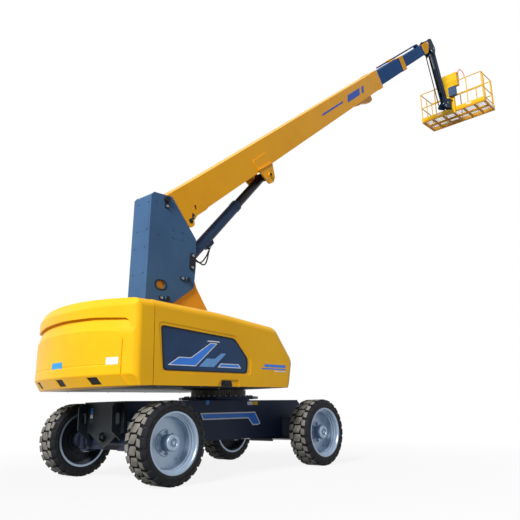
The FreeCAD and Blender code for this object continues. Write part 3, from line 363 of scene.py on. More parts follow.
# ---- Tyres
# Solid-filled off-road tyres, moulded in black rubber: a carcass with a stepped sidewall, a row of
# skewed hexagonal blocks round its middle and shoulder lugs that run down each sidewall.
tyre_radius = 0.512
block_foot = 0.474
wheel_y = 1.055
wall_step = [(0.352, 0.160), (0.380, 0.178), (0.392, 0.184), (0.412, 0.188), (0.418, 0.184), (0.446, 0.182),
             (0.470, 0.170), (0.482, 0.150), (0.486, 0.090)]
lugs_round = 24
pitch = 2 * math.pi / lugs_round
block_plan = [(-0.056, 0.040), (0.0335, 0.082), (0.056, 0.062), (0.056, -0.040), (-0.0335, -0.082),
              (-0.056, -0.062)]
lug_side = [(0.074, 0.478), (0.074, tyre_radius), (0.152, tyre_radius), (0.190, 0.449), (0.165, 0.438)]
lug_width = 0.092
lug_skew, skew_from = 0.249, 0.09
tread_edge, edge_round = 0.50, 0.005


def wrap_lug(verts, turn):
    """Bends a lug drawn flat, with its length along X, round the wheel's axle, and turns it to its place."""
    for vert in verts:
        angle = vert.co.x / tyre_radius + turn
        vert.co = (vert.co.z * math.sin(angle), vert.co.y, vert.co.z * math.cos(angle))


def add_lug(shape, corners, step, turn, skew):
    """A row of moulded lugs: one is extruded from its outline, its top edges are rounded 5 mm, and it is
    bent round the tyre and repeated."""
    lug = bmesh.new()
    add_plate(lug, corners, step)
    for vert in lug.verts:
        vert.co.x -= skew * (abs(vert.co.y) - skew_from)
    bmesh.ops.recalc_face_normals(lug, faces=lug.faces[:])
    top = [edge for edge in lug.edges if max(vert.co.z for vert in edge.verts) > tread_edge]
    bmesh.ops.bevel(lug, geom=top, offset=edge_round, segments=2, profile=0.5, affect="EDGES", material=-1)
    wrap_lug(lug.verts, turn)
    bmesh.ops.spin(lug, geom=lug.verts[:] + lug.edges[:] + lug.faces[:], cent=(0, 0, 0), axis=(0, 1, 0),
                   dvec=(0, 0, 0), angle=pitch * (lugs_round - 1), steps=lugs_round - 1, use_duplicate=True)
    mesh = bpy.data.meshes.new("lug")
    lug.to_mesh(mesh)
    lug.free()
    shape.from_mesh(mesh)
    bpy.data.meshes.remove(mesh)


def spun(shape, outline, steps):
    """A closed ring round the Y axis from its outline, given as radius and y."""
    spots = [shape.verts.new((r, y, 0)) for r, y in outline]
    rims = [(spots[i - 1], spots[i]) for i in range(len(spots))]
    edges = [shape.edges.new(pair) for pair in rims if pair[0].co.x + pair[1].co.x > 0]
    bmesh.ops.spin(shape, geom=spots + edges, cent=(0, 0, 0), axis=(0, 1, 0), dvec=(0, 0, 0),
                   angle=2 * math.pi, steps=steps, use_merge=True)
    bmesh.ops.remove_doubles(shape, verts=shape.verts[:], dist=1e-5)
    bmesh.ops.dissolve_degenerate(shape, edges=shape.edges[:], dist=1e-6)


def at_wheel(shape, axle_x, side):
    """Puts a shape made round the Y axis, for the left side, on its wheel's axle."""
    bmesh.ops.scale(shape, vec=(1, side, 1), verts=shape.verts)
    bmesh.ops.translate(shape, vec=(axle_x, side * wheel_y, tyre_radius), verts=shape.verts)


wheel = bmesh.new()
spun(wheel, wall_step + [(r, -y) for r, y in reversed(wall_step)], 96)
add_lug(wheel, [(u, y, block_foot) for u, y in block_plan], (0, 0, tyre_radius - block_foot), pitch / 2, 0.0)
for side, turn in ((1, pitch * 0.25), (-1, pitch * 0.75)):
    add_lug(wheel, [(-lug_width / 2, side * y, r) for y, r in lug_side], (lug_width, 0, 0), turn, lug_skew)
tread_top_depth = 0.0035
shoulder_foot, shoulder_top, faces_aside = 0.444, 0.49, 0.55
wheel.normal_update()
for face in wheel.faces:
    reach = [math.hypot(vert.co.x, vert.co.z) for vert in face.verts]
    on_top = min(reach) > tyre_radius - tread_top_depth
    aside = abs(face.normal.y) > faces_aside
    on_shoulder = aside and min(reach) > shoulder_foot and max(reach) > shoulder_top
    face.material_index = 1 if on_top else 2 if on_shoulder else 0
tyre_mesh = bpy.data.meshes.new("tyre")
wheel.to_mesh(tyre_mesh)
wheel.free()

# Moulded rubber is near black in the grooves; the lugs' tops are scrubbed matt by the ground, and their grey
# is partly that scrubbing and partly painted light, lightened as if sunlit; their flanks on the shoulders are
# dull with dust.
moulded_rubber = plain_finish("moulded black rubber", "#111317", rough=0.68, speck=0.004, tone=0.35, lift=0.1)
scrubbed_and_lit_rubber = plain_finish("scrubbed tread rubber with painted light", "#7C7972", rough=0.85, speck=0.005, tone=0.45,
                               lift=0.15)
dusty_rubber = plain_finish("dusty shoulder rubber", "#1B1D22", rough=0.8, speck=0.005, tone=0.4, lift=0.12)
for corner, (axle_x, side) in corners.items():
    shape = bmesh.new()
    shape.from_mesh(tyre_mesh)
    at_wheel(shape, axle_x, side)
    tyre = new_piece("tread_tyre_" + corner, shape, "wheel_" + corner, "tyre_rubber", moulded_rubber,
                     scrubbed_and_lit_rubber, dusty_rubber)
    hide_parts("tyre_" + corner)
bpy.data.meshes.remove(tyre_mesh)

# ---- Wheel rims
# Deep steel discs in silver-blue paint, pressed with a stepped lip; a forged hub stands out of the
# middle of each one inside a ring of wheel nuts, with the small bolts of its end cover.
rim_side = [(0.347, 0.1616), (0.378, 0.1715), (0.378, 0.176), (0.356, 0.176), (0.350, 0.170), (0.346, 0.152),
            (0.340, 0.150), (0.339, 0.118), (0.329, 0.112), (0.328, 0.078), (0.318, 0.072), (0.317, 0.034),
            (0.308, 0.018), (0.300, -0.008), (0.166, -0.008), (0.160, 0.004), (0.106, 0.006), (0.101, 0.014),
            (0.101, 0.136), (0.090, 0.148), (0.056, 0.148), (0.052, 0.142), (0.052, 0.136), (0.0, 0.136)]
rim_back = [(0.0, -0.050), (0.165, -0.050), (0.165, -0.024), (0.316, -0.024), (0.326, -0.154),
            (0.348, -0.176), (0.378, -0.176), (0.378, -0.1715), (0.347, -0.1616)]
rim_paint = sprayed_paint("silver blue rim paint", "#A3B5C9", "#93A6BB", rough=(0.26, 0.38), dust=0.10,
                          dust_top=1.1, gloss=0.5, metal=0.5)
hub_paint = sprayed_paint("steel blue hub paint", "#7C90A8", "#6C819A", rough=(0.26, 0.38), gloss=0.5,
                          metal=0.4)
# The rim's back faces are a dark blue grey that is painted shade, with the same dust as the front.
dusty_back_painted_shade = sprayed_paint("dusty rim back paint with painted shade", "#2E3640", "#262D36", gloss=0.12, dust=0.10, dust_top=1.1)
lip_radius, back_y = 0.347, -0.02
hub_radius, hub_foot, hub_end = 0.155, 0.01, 0.14
nut_circle, cover_circle = 0.131, 0.073
washer, nut, stud_end = (0.024, 0.006, 16), (0.020, 0.022, 6), (0.011, 0.016, 12)
nut_stack = [(0.004, washer), (0.010, nut), (0.032, stud_end)]
cover_y, cover_bolt = 0.148, (0.010, 0.008)
plug_y, hub_plug = 0.136, (0.026, 0.012)
disc_y, valve_radius, valve_turn = -0.008, 0.26, -0.9
valve_stem = (0.008, 0.035, 10)
out = (0, 1, 0)
for corner, (axle_x, side) in corners.items():
    shape = bmesh.new()
    spun(shape, rim_back + rim_side, 72)
    for face in shape.faces:
        spots = [(math.hypot(vert.co.x, vert.co.z), vert.co.y) for vert in face.verts]
        on_hub = all(r < hub_radius and hub_foot < y < hub_end for r, y in spots)
        # Faces behind the disc take the painted shade finish.
        behind = all(y < back_y for r, y in spots) and any(r < lip_radius for r, y in spots)
        face.material_index = 2 if behind else 1 if on_hub else 0
    for x, z in ring_places(8, nut_circle):
        for foot, size in nut_stack:
            add_bolts(shape, [(x, foot, z)], out, *size)
    for x, z in ring_places(5, cover_circle, 0.3):
        add_bolts(shape, [(x, cover_y, z)], out, *cover_bolt)
    add_bolts(shape, [(0.0, plug_y, 0.0)], out, *hub_plug)
    valve = (valve_radius * math.cos(valve_turn), disc_y, valve_radius * math.sin(valve_turn))
    add_bolts(shape, [valve], out, *valve_stem)
    at_wheel(shape, axle_x, side)
    rim = new_piece("dished_rim_" + corner, shape, "wheel_" + corner, "rim_silver", rim_paint, hub_paint,
                    dusty_back_painted_shade)
    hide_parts("rim_" + corner)

# ---- Turret
# The turntable's plates, the two pressed hoods and the nose cover in yellow paint; the tail is an
# iron casting, filled and sprayed the same yellow with a coarser skin.
yellow_paint = sprayed_paint("yellow machine paint", "#F7B80F", "#F0AE0D", rough=(0.3, 0.42))
deck_under, dark_height = 1.2, 0.0262


def dark_below(tree, place, tone):
    """The deck plate's edge and underside are black, up to 26 mm above its lower face."""
    height = add_node(tree, "SeparateXYZ", Vector=place).outputs["Z"]
    under = add_node(tree, "Math", {"operation": "LESS_THAN"}, in0=height,
                     in1=deck_under + dark_height)
    return add_node(tree, "Mix", {"data_type": "RGBA"}, in0=under.outputs[0], in6=tone,
                    in7=linear("#191A1D")).outputs[2]


frame_yellow = sprayed_paint("deep yellow frame paint", "#EE9F12", "#E3940F", dark_below, rough=(0.36, 0.5))
cast_yellow = sprayed_paint("yellow paint on cast iron", "#F8BB10", "#F1B00E", rough=(0.32, 0.44), grain=0.14)
finish_nodes(yellow_paint, "hood_right", "hood_left", "front_cover")
finish_nodes(frame_yellow, "turntable")
finish_nodes(cast_yellow, "counterweight")
finish_nodes(black_steel, "latch_right", "latch_left")

# Engine and tank fill the space behind the hoods: a sooty cast block and a rotomoulded tank.
finish_nodes(plain_finish("sooty cast iron", "#3B3B3A", rough=0.7, metal=0.4, tone=0.5), "engine")
finish_nodes(plain_finish("rotomoulded black polyethylene", "#1D1D1E", rough=0.6, speck=0.003), "tank")


# Each hood's window is a panel of dark blue tinted acrylic in a black rubber seal. Slanted bands of
# blue, light blue and white vinyl film are stuck on it.
def tinted_acrylic():
    """Dark glossy acrylic: the tint drifts a little and the skin is nearly optical."""
    material, tree = bare_material("dark tinted acrylic")
    place = add_node(tree, "TexCoord").outputs["Object"]
    cloud = add_node(tree, "TexNoise", Vector=place, Scale=1 / 0.5, Detail=2.0)
    tint = add_node(tree, "Mix", {"data_type": "RGBA"}, in0=cloud.outputs[0], in6=linear("#142C4B"),
                    in7=linear("#224A76")).outputs[2]
    film_dust = add_node(tree, "TexNoise", Vector=place, Scale=1 / 0.03, Detail=5.0)
    dull = add_node(tree, "MapRange", in0=film_dust.outputs[0], in1=0.3, in2=0.7, in3=0.06, in4=0.16)
    shader = add_node(tree, "BsdfPrincipled", Base_Color=tint, Roughness=dull.outputs[0],
                      Specular_IOR_Level=0.2)
    add_node(tree, "OutputMaterial", Surface=shader.outputs[0])
    return material


def add_ring(shape, corners, round_off, segments, width, step):
    """A flat ring inside a rounded outline, of the width given, and as thick as its step."""
    known = set(shape.faces)
    spots = [shape.verts.new(corner) for corner in corners]
    shape.faces.new(spots)
    bmesh.ops.bevel(shape, geom=spots, offset=round_off, segments=segments, profile=0.5, affect="VERTICES",
                    material=-1)
    disc = [face for face in shape.faces if face not in known]
    shape.normal_update()
    ring = bmesh.ops.inset_region(shape, faces=disc, thickness=width, use_even_offset=True,
                                  use_boundary=True)["faces"]
    bmesh.ops.delete(shape, geom=disc, context="FACES")
    thicken(shape, ring, step)


finish_nodes(tinted_acrylic(), "window_right", "window_left")
sky_film = plain_finish("light blue vinyl film", "#6FA3DC", rough=0.35, tone=0.1)
seal_rubber = plain_finish("black seal rubber", "#17181A", rough=0.6)
window_face, surround_face = 1.232, 1.2345
seal_width, seal_thick = 0.016, 0.004
window_plan = [(-2.142, 1.944), (-0.846, 1.862), (-0.584, 1.592), (-0.606, 1.383), (-2.092, 1.383)]
bands = [([(-2.020, 1.450), (-1.560, 1.450), (-1.170, 1.770), (-1.300, 1.770), (-1.640, 1.560),
           (-1.840, 1.560)], 0, 0.010),
         ([(-1.500, 1.450), (-1.240, 1.450), (-1.010, 1.640), (-1.100, 1.640), (-1.220, 1.560),
           (-1.365, 1.560)], 2, 0.0),
         ([(-1.170, 1.450), (-0.720, 1.450), (-0.770, 1.505), (-1.105, 1.505)], 0, 0.010),
         ([(-1.365, 1.785), (-1.125, 1.785), (-1.145, 1.800), (-1.335, 1.800)], 1, 0.0)]
for side, name in ((-1, "right"), (1, "left")):
    shape = bmesh.new()
    for band, kind, edge in bands:
        spots = [(x, side * window_face, z) for x, z in band]
        add_plate(shape, spots, (0, side * film, 0), finish=kind, border=edge)
    new_piece("window_bands_" + name, shape, "hood_" + name, "window_gloss", blue_film, pale_film, sky_film)
    shape = bmesh.new()
    spots = [(x, side * surround_face, z) for x, z in window_plan]
    add_ring(shape, spots, 0.06, 5, seal_width, (0, side * seal_thick, 0))
    new_piece("window_seal_" + name, shape, "hood_" + name, "window_gloss", seal_rubber)

# Small blank labels on the tail and the hoods, dark plates set inside the tail's three slots as painted
# shade, black rubber bezels round the latches, and the bolts under the deck's edge.
cyan_film = plain_finish("cyan blue vinyl film", "#2E9BD6", rough=0.35, tone=0.1)
tail_swing, tail_film = 2.8025, 0.0022
shape = bmesh.new()
for y0, y1, z0, z1, kind in ((-1.030, -0.860, 1.452, 1.536, 1), (-0.060, 0.210, 1.425, 1.528, 0)):
    x0, x1 = [-math.sqrt(tail_swing ** 2 - y ** 2) for y in (y0, y1)]
    spots = [(x0, y0, z0), (x1, y1, z0), (x1, y1, z1), (x0, y0, z1)]
    add_plate(shape, spots, (-tail_film, 0, 0), round_off=0.008, finish=kind)
new_piece("tail_labels", shape, "turret", "cast_yellow", cyan_film, pale_film)
hood_face = 1.24
hood_strips = [(-0.30, 0.24, 1.455, 1.475, 0), (-0.24, 0.24, 1.49, 1.53, 0), (-0.02, 0.24, 1.425, 1.44, 1)]
for side, name in ((-1, "right"), (1, "left")):
    shape = bmesh.new()
    for x0, x1, z0, z1, kind in hood_strips:
        spots = side_quad(side * hood_face, x0, x1, z0, z1)
        add_plate(shape, spots, (0, side * film, 0), round_off=0.008, finish=kind)
    new_piece("hood_labels_" + name, shape, "hood_" + name, "machine_yellow", blue_film, pale_film)
# The slot plates are painted shade: black where the slots' depth lies in shadow.
slot_swing, slot_lean, shade_plate_depth = 2.715, 0.55, 0.012
shape = bmesh.new()
for y in (-0.627, 0.030, 0.790):
    spots = [(y - 0.0875, 1.3095), (y + 0.0875, 1.3095), (y + 0.0495, 1.2225), (y - 0.1195, 1.2225)]
    leaning = [(-math.sqrt((slot_swing + (z - deck_under) * slot_lean) ** 2 - a ** 2), a, z)
               for a, z in spots]
    add_plate(shape, leaning, (shade_plate_depth, 0, 0))
new_piece("tail_slot_shade_plates", shape, "turret", "cover_black", black_steel)
latch_pan_face, bezel_thick = 1.2275, 0.003
bezel_plan = [(-1.108, 1.200), (-0.892, 1.200), (-0.910, 1.280), (-1.090, 1.280)]
for side, name in ((-1, "right"), (1, "left")):
    shape = bmesh.new()
    spots = [(x, side * latch_pan_face, z) for x, z in bezel_plan]
    add_plate(shape, spots, (0, side * bezel_thick, 0), round_off=0.015)
    new_piece("latch_bezel_" + name, shape, "hood_" + name, "cover_black", seal_rubber)
deck_bolt = (0.012, 0.009)
deck_places = [(x, side * y, deck_under) for x in (-2.05, -1.35, -0.65, 0.10) for side in (-1, 1)
               for y in (1.10, 0.70)]
shape = bmesh.new()
add_bolts(shape, deck_places, (0, 0, -1), *deck_bolt)
new_piece("deck_bolts", shape, "turret", "machine_yellow", zinc)

# ---- Tower
# A column of two folded side plates and a rear plate in slate blue paint, pinned to the uprights. A
# keeper plate with one bolt locks each pin, and screwed covers close the access holes.
slate_paint = sprayed_paint("slate blue tower paint", "#426388", "#3A597C", rough=(0.34, 0.48), gloss=0.12)
finish_nodes(slate_paint, "tower")
tower_half = 0.221
pivot_x, pivot_z = -1.299, 4.090
boom_pin, foot_cap = (0.054, 0.041, 28), (0.040, 0.008, 28)
keeper_bolt, cover_screw = (0.024, 0.018, 12), (0.011, 0.008)
keeper_thick, cover_thick, screw_foot = 0.012, 0.0015, 0.004
foot_pins, foot_pin_reach = [(-0.865, 2.873), (-1.265, 2.519)], 0.030
cylinder_keeper = [(-0.830, 3.035), (-0.722, 3.035), (-0.708, 3.322), (-0.816, 3.322)]
keeper_bolts = [(-0.973, 2.875), (-1.373, 2.521), (-1.300, 3.978), (-0.766, 3.276), (-0.778, 3.080)]
loose_screws = [(-1.464, 3.502), (-1.52, 4.02), (-1.02, 3.30), (-1.52, 2.46)]
for side, name in ((-1, "right"), (1, "left")):
    face = side * tower_half
    out = (0, side, 0)
    keeper_step = (0, side * keeper_thick, 0)
    shape = bmesh.new()
    add_bolts(shape, [(pivot_x, face, pivot_z)], out, *boom_pin)
    add_plate(shape, side_quad(face, -1.335, -1.262, 3.948, 4.045), keeper_step, round_off=0.012)
    for x, z in foot_pins:
        add_bolts(shape, [(x, face + side * foot_pin_reach, z)], out, *foot_cap)
        keeper = side_quad(face, x - 0.145, x - 0.045, z - 0.022, z + 0.030)
        add_plate(shape, keeper, keeper_step, round_off=0.010)
    add_plate(shape, [(x, face, z) for x, z in cylinder_keeper], keeper_step, round_off=0.045)
    blacked = set(shape.faces)
    add_bolts(shape, [(x, face + side * keeper_thick, z) for x, z in keeper_bolts], out, *keeper_bolt)
    for head in shape.faces:
        head.material_index = 0 if head in blacked else 1
    new_piece("tower_pins_" + name, shape, "turret", "gear_steel", black_steel, zinc)
    shape = bmesh.new()
    cover = side_quad(face, -1.200, -0.974, 3.490, 3.648)
    add_plate(shape, cover, (0, side * cover_thick, 0), round_off=0.016)
    screws = [(x, face + side * screw_foot, z) for x in (-1.182, -0.992) for z in (3.508, 3.630)]
    screws += [(x, face, z) for x, z in loose_screws]
    add_bolts(shape, screws, out, *cover_screw)
    new_piece("tower_covers_" + name, shape, "turret", "column_blue", slate_paint)

# A black rubber trim lines the edge of the oval hole in each side plate.
trim_width, trim_thick = 0.020, 0.004
shape = bmesh.new()
for side in (-1, 1):
    hole = side_quad(side * tower_half, -1.497, -1.267, 2.641, 2.801)
    add_ring(shape, hole, 0.078, 8, trim_width, (0, side * trim_thick, 0))
new_piece("tower_hole_trim", shape, "turret", "cover_black", seal_rubber)

# Two screwed covers on the rear plate, which leans forward as it rises.
rear_foot_x, rear_foot_z, rear_lean = -1.664, 2.252, 0.070 / 1.851


def rear_plate_x(z):
    """Where the tower's leaning rear plate is at a height."""
    return rear_foot_x + (z - rear_foot_z) * rear_lean


screw_inset = 0.02
shape = bmesh.new()
for y0, y1, z0, z1 in ((-0.175, 0.112, 3.545, 4.020), (-0.145, 0.150, 2.865, 3.310)):
    low_x, high_x = rear_plate_x(z0), rear_plate_x(z1)
    cover = [(low_x, y0, z0), (low_x, y1, z0), (high_x, y1, z1), (high_x, y0, z1)]
    add_plate(shape, cover, (-cover_thick, 0, 0), round_off=0.018)
    screws = [(rear_plate_x(z) - screw_foot, y, z) for y in (y0 + screw_inset, y1 - screw_inset)
              for z in (z0 + screw_inset, z1 - screw_inset)]
    add_bolts(shape, screws, (-1, 0, 0), *cover_screw)
new_piece("tower_rear_covers", shape, "turret", "column_blue", slate_paint)

# ---- Boom
# Three telescoping box sections of folded and welded plate: the outer one yellow, the two inner ones
# dark blue, with a yellow collar on the middle one and a yellow nose. A duct for hoses lies on top.
boom_angle = math.radians(38)
along = Vector((math.cos(boom_angle), 0, math.sin(boom_angle)))
above = Vector((-math.sin(boom_angle), 0, math.cos(boom_angle)))
along_start = along.dot((pivot_x, 0, pivot_z))


def boom_spot(s, n, y):
    """A point of the boom from its length along from the pivot, its height off the axis and its side."""
    return Vector((pivot_x, y, pivot_z)) + along * s + above * n


def boom_quad(s0, s1, n0, n1, y):
    """The corners of a rectangle on a side of the boom, or on a plane inside it."""
    return [boom_spot(s, n, y) for s, n in ((s0, n0), (s1, n0), (s1, n1), (s0, n1))]


def yellow_between(start, end):
    """Paint masked off along the boom: yellow between the two lengths from the pivot."""
    def dress(tree, place, tone):
        dot = add_node(tree, "VectorMath", {"operation": "DOT_PRODUCT"}, in0=place, in1=along)
        reach = dot.outputs["Value"]
        lower = add_node(tree, "Math", {"operation": "GREATER_THAN"}, in0=reach, in1=along_start + start)
        upper = add_node(tree, "Math", {"operation": "LESS_THAN"}, in0=reach, in1=along_start + end)
        both = add_node(tree, "Math", {"operation": "MULTIPLY"}, in0=lower.outputs[0], in1=upper.outputs[0])
        return add_node(tree, "Mix", {"data_type": "RGBA"}, in0=both.outputs[0], in6=tone,
                        in7=linear("#EFA80F")).outputs[2]
    return dress


boom_paint = sprayed_paint("yellow boom paint", "#F0A90C", "#E69E0A", rough=(0.34, 0.46))
finish_nodes(boom_paint, "boom_base")
finish_nodes(sprayed_paint("dark blue mid section paint", "#1F4C82", "#1A4273", yellow_between(10.488, 10.76),
                           rough=(0.5, 0.6), gloss=0.05), "boom_mid")
finish_nodes(sprayed_paint("dark blue fly section paint", "#1F4C82", "#1A4273", yellow_between(12.56, 13.4),
                           rough=(0.5, 0.6), gloss=0.05), "boom_fly")
finish_nodes(sprayed_paint("dark blue duct paint", "#22406C", "#1E3860", yellow_between(10.05, 10.235),
                           rough=(0.5, 0.6), gloss=0.05), "hose_tray")

# Nylon wear pads shim each section in the mouth of the one outside it. Bolts hold them, and the pins
# at the boom's foot and at the lift cylinder's rod have flat black caps.
nylon = plain_finish("black nylon", "#222326", rough=0.55)
mouth_start, mouth_end = 8.60, 8.732
pad_half, pad_face, pad_thick, pad_rise = 0.15, 0.170, 0.019, 0.04
shape = bmesh.new()
for low_n, high_n in ((0.022, 0.040), (-0.410, -0.368)):
    add_plate(shape, boom_quad(mouth_start, mouth_end, low_n, high_n, -pad_half), (0, 2 * pad_half, 0))
for side in (-1, 1):
    for n in (-0.06, -0.30):
        spots = boom_quad(mouth_start, mouth_end, n - pad_rise, n + pad_rise, side * pad_face)
        add_plate(shape, spots, (0, side * pad_thick, 0))
new_piece("base_wear_pads", shape, "boom_base", "cover_black", nylon)

heel_half, collar_half, heel_bolt_half, lug_half, pin_half = 0.203, 0.212, 0.213, 0.230, 0.262
collar_bolt, heel_bolt = (0.012, 0.010), (0.010, 0.008)
collar_places = [(s, n) for s in (8.560, 8.690) for n in (-0.03, -0.09, -0.27, -0.33)]
bolt_groups = [(collar_places, collar_half, collar_bolt),
               ([(0.33, -0.459), (0.375, -0.421)], heel_bolt_half, heel_bolt),
               ([(2.70, -0.53), (2.53, -0.66)], lug_half, collar_bolt)]
shape = bmesh.new()
for side in (-1, 1):
    for places, half, size in bolt_groups:
        spots = [boom_spot(s, n, side * half) for s, n in places]
        add_bolts(shape, spots, (0, side, 0), *size)
new_piece("boom_bolts", shape, "boom_base", "gear_steel", zinc)
lock_plan = [(0.300, -0.470), (0.375, -0.395), (0.410, -0.430), (0.335, -0.505)]
lock_thick = 0.0015
heel_cap, rod_cap = (0.046, lock_thick, 28), (0.034, 0.006, 24)
shape = bmesh.new()
for side in (-1, 1):
    out = (0, side, 0)
    add_bolts(shape, [boom_spot(0.267, -0.495, side * heel_half)], out, *heel_cap)
    add_bolts(shape, [boom_spot(2.62, -0.605, side * pin_half)], out, *rod_cap)
    lock = [boom_spot(s, n, side * heel_half) for s, n in lock_plan]
    add_plate(shape, lock, (0, side * lock_thick, 0), round_off=0.008)
new_piece("boom_pin_caps", shape, "boom_base", "gear_steel", black_steel)
mid_collar_half, mid_bolt = 0.184, (0.011, 0.009)
shape = bmesh.new()
for side in (-1, 1):
    spots = [boom_spot(s, n, side * mid_collar_half) for s in (10.52, 10.70)
             for n in (-0.02, -0.12, -0.23, -0.33)]
    add_bolts(shape, spots, (0, side, 0), *mid_bolt)
new_piece("mid_collar_bolts", shape, "boom_mid", "gear_steel", zinc)

# Vinyl film on the outer section's sides: plain blue bars with slanted ends, near its mouth.
deep_blue_film = plain_finish("deep blue vinyl film", "#1D4FB4", rough=0.4, tone=0.1)
side_half, bar_slant = 0.200, 0.8
bars = [(5.30, 6.40, -0.205, -0.165), (6.62, 7.34, -0.262, -0.108), (7.46, 7.60, -0.262, -0.108)]
for side, name in ((-1, "right"), (1, "left")):
    shape = bmesh.new()
    for s0, s1, low_n, high_n in bars:
        lean = (high_n - low_n) * bar_slant
        spots = [(s0, low_n), (s1, low_n), (s1 + lean, high_n), (s0 + lean, high_n)]
        add_plate(shape, [boom_spot(s, n, side * side_half) for s, n in spots], (0, side * film, 0))
    new_piece("boom_bars_" + name, shape, "boom_base", "boom_yellow", deep_blue_film)

# ---- Lift cylinder
# A black nitrided rod in a slate blue barrel. Two black rubber hoses with zinc-plated unions bend back
# from the port block to the barrel's foot.
finish_nodes(sprayed_paint("dark slate cylinder paint", "#34496A", "#2C3F5C", gloss=0.12), "lift_barrel")
finish_nodes(plain_finish("black nitrided rod", "#1A1C20", rough=0.32, metal=0.5), "lift_rod")


def bent_hoses(name, runs, radius, body, slot, material):
    """Hoses of one size as smooth curves, each drawn in by its own few points."""
    curve = bpy.data.curves.new(name, "CURVE")
    curve.dimensions = "3D"
    curve.bevel_depth = radius
    curve.bevel_resolution = 4
    curve.use_fill_caps = True
    curve.resolution_u = 10
    for run in runs:
        line = curve.splines.new("NURBS")
        line.points.add(len(run) - 1)
        for point, spot in zip(line.points, run):
            point.co = (*spot, 1.0)
        line.order_u = 3
        line.use_endpoint_u = True
    drawn = bpy.data.objects.new(name + "_line", curve)
    tube = bpy.data.meshes.new_from_object(drawn)
    shape = bmesh.new()
    shape.from_mesh(tube)
    bmesh.ops.remove_doubles(shape, verts=shape.verts[:], dist=1e-5)
    bpy.data.objects.remove(drawn)
    bpy.data.curves.remove(curve)
    bpy.data.meshes.remove(tube)
    new_piece(name, shape, body, slot, material)


hoses = [[(-0.600, -0.060, 3.300), (-0.470, -0.060, 3.235), (-0.360, -0.060, 3.215), (-0.300, -0.055, 3.330),
          (-0.270, -0.050, 3.450), (-0.235, -0.050, 3.560)],
         [(-0.560, 0.050, 3.340), (-0.450, 0.050, 3.290), (-0.350, 0.050, 3.275), (-0.250, 0.045, 3.390),
          (-0.190, 0.040, 3.500), (-0.160, 0.030, 3.590)]]
hose_radius, union = 0.012, (0.019, 0.030)
bent_hoses("lift_pipes", hoses, hose_radius, "lift_barrel", "cover_black", seal_rubber)
to_port, to_foot = (0.2, 0, 0.98), (-0.9, 0, 0.4)
unions = [((-0.235, -0.050, 3.545), to_port), ((-0.160, 0.030, 3.575), to_port),
          ((-0.590, -0.060, 3.297), to_foot), ((-0.552, 0.050, 3.338), to_foot)]
shape = bmesh.new()
for end, way in unions:
    add_bolts(shape, [end], way, *union)
new_piece("lift_unions", shape, "lift_barrel", "gear_steel", zinc)

# ---- Jib
# A short channel-section arm and its level link in dark slate paint, hung from a bracket on the boom's
# nose and carrying the platform's bracket. A cylinder in blacked steel with a ground rod lifts it, and
# round bolted keepers cap its pins.
finish_nodes(sprayed_paint("dark slate jib paint", "#27394F", "#203044", rough=(0.45, 0.6), gloss=0.06),
             "jib_base", "jib_arm", "jib_link", "jib_head")
finish_nodes(black_steel, "jib_barrel")
finish_nodes(ground_steel, "jib_rod")
jib_angle = math.radians(-69)
jib_length = 1.82
jib_down = Vector((math.cos(jib_angle), 0, math.sin(jib_angle)))
upper_pin = Vector((9.550, 0, 12.160))
lower_pin = upper_pin + jib_down * jib_length
link_step = Vector((-0.204, 0, -0.184))
nose_pin = boom_spot(13.080, -0.070, 0)
bracket_half, nose_half, jib_cap_thick = 0.130, 0.152, 0.012
jib_cap, jib_screw, nose_cap = (0.042, jib_cap_thick, 24), (0.007, 0.005), (0.055, jib_cap_thick, 24)
for name, body, pin in (("jib_base_caps", "jib_base", upper_pin), ("jib_head_caps", "jib_head", lower_pin)):
    shape = bmesh.new()
    for spot in (pin, pin + link_step):
        for side in (-1, 1):
            cap = spot + Vector((0, side * bracket_half, 0))
            add_bolts(shape, [cap], (0, side, 0), *jib_cap)
            heads = [spot + Vector((x, side * (bracket_half + jib_cap_thick), 0)) for x in (0.02, -0.02)]
            add_bolts(shape, heads, (0, side, 0), *jib_screw)
    new_piece(name, shape, body, "gear_steel", zinc)
shape = bmesh.new()
for side in (-1, 1):
    add_bolts(shape, [nose_pin + Vector((0, side * nose_half, 0))], (0, side, 0), *nose_cap)
new_piece("nose_pin_caps", shape, "boom_fly", "gear_steel", zinc)

# ---- Platform
# A welded frame of yellow beams and tubes on a mast; galvanized bar grating lies on it as the floor,
# and the gate in the near rail hangs on two round hinge barrels.
basket_paint = sprayed_paint("yellow platform paint", "#F9C414", "#F0B911", rough=(0.34, 0.48))
finish_nodes(basket_paint, "toe_boards", "rails", "gate", "platform_mast")
finish_nodes(sprayed_paint("deep yellow floor frame paint", "#E8A312", "#DC970F"), "platform_floor")
galvanized = plain_finish("galvanized steel", "#A9ADB0", rough=0.5, metal=0.35, speck=0.012, tone=0.35)
low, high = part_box("deck_panel")


def add_bar(shape, middle, size):
    """One straight bar of the grating."""
    bmesh.ops.create_cube(shape, size=1.0, matrix=Matrix.Translation(middle) @ Matrix.Diagonal((*size, 1)))


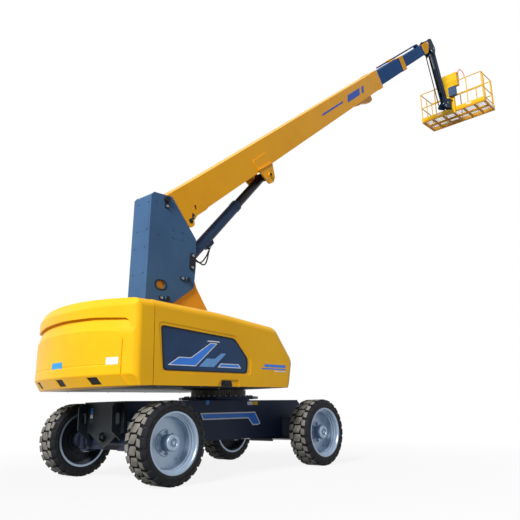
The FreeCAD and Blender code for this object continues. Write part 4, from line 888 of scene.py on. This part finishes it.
long_bars, cross_bars = 72, 9
edge_gap, end_gap = 0.004, 0.002
bar_width, cross_width, cross_height = 0.005, 0.006, 0.005
middle_x, middle_y, middle_z = (low.x + high.x) / 2, (low.y + high.y) / 2, (low.z + high.z) / 2
shape = bmesh.new()
for i in range(long_bars):
    y = low.y + edge_gap + (high.y - low.y - 2 * edge_gap) * i / (long_bars - 1)
    add_bar(shape, (middle_x, y, middle_z), (high.x - low.x - end_gap, bar_width, high.z - low.z))
for i in range(cross_bars):
    x = low.x + edge_gap + (high.x - low.x - 2 * edge_gap) * i / (cross_bars - 1)
    add_bar(shape, (x, middle_y, middle_z), (cross_width, high.y - low.y, cross_height))
grating = new_piece("floor_grating", shape, "platform", "gear_steel", galvanized)
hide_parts("deck_panel")
finish_nodes(galvanized, "deck_panel")
finish_nodes(plain_finish("moulded yellow cover", "#F8C21A", rough=0.45, speck=0.004, tone=0.12), "console")
finish_nodes(plain_finish("grey blue moulded box", "#3C5876", rough=0.5), "control_box")
orange_to = 11.60


def striped_guard():
    """Powder coat on a bent steel tube: red, and orange on the upright foot below its last bend."""
    material, tree = bare_material("red powder coat")
    place = add_node(tree, "TexCoord").outputs["Object"]
    height = add_node(tree, "SeparateXYZ", Vector=place).outputs["Z"]
    foot = add_node(tree, "Math", {"operation": "LESS_THAN"}, in0=height, in1=orange_to)
    orange = add_node(tree, "Mix", {"data_type": "RGBA"}, in0=foot.outputs[0], in6=linear("#D62A1C"),
                      in7=linear("#E8791A")).outputs[2]
    grain = add_node(tree, "TexNoise", Vector=place, Scale=1 / 0.004, Detail=2.0)
    dull = add_node(tree, "MapRange", in0=grain.outputs[0], in1=0.3, in2=0.7, in3=0.4, in4=0.55)
    skin = add_node(tree, "Bump", Height=grain.outputs[0], Strength=0.2, Distance=0.0004)
    shader = add_node(tree, "BsdfPrincipled", Base_Color=orange, Roughness=dull.outputs[0],
                      Normal=skin.outputs[0])
    add_node(tree, "OutputMaterial", Surface=shader.outputs[0])
    return material


finish_nodes(striped_guard(), "guard_bar")

# Blank labels on the near toe board and the floor's right edge, and the gate's two hinge barrels.
floor_half, board_x = 1.098, 10.762
shape = bmesh.new()
for y0, y1 in ((-0.66, -0.50), (0.38, 0.54)):
    add_plate(shape, end_quad(board_x, y0, y1, 10.475, 10.525), (-film, 0, 0), round_off=0.008)
add_plate(shape, side_quad(-floor_half, 11.20, 11.46, 10.400, 10.440), (0, -film, 0), round_off=0.006)
new_piece("platform_labels", shape, "platform", "machine_yellow", pale_film)
hinge_x, hinge_y, hinge_length = 10.96, -1.074, 0.08
hinge_barrel = (0.024, hinge_length, 20)
shape = bmesh.new()
for z in (10.70, 11.25):
    add_bolts(shape, [(hinge_x, hinge_y, z - hinge_length / 2)], (0, 0, 1), *hinge_barrel)
new_piece("gate_hinges", shape, "gate", "machine_yellow", basket_paint)
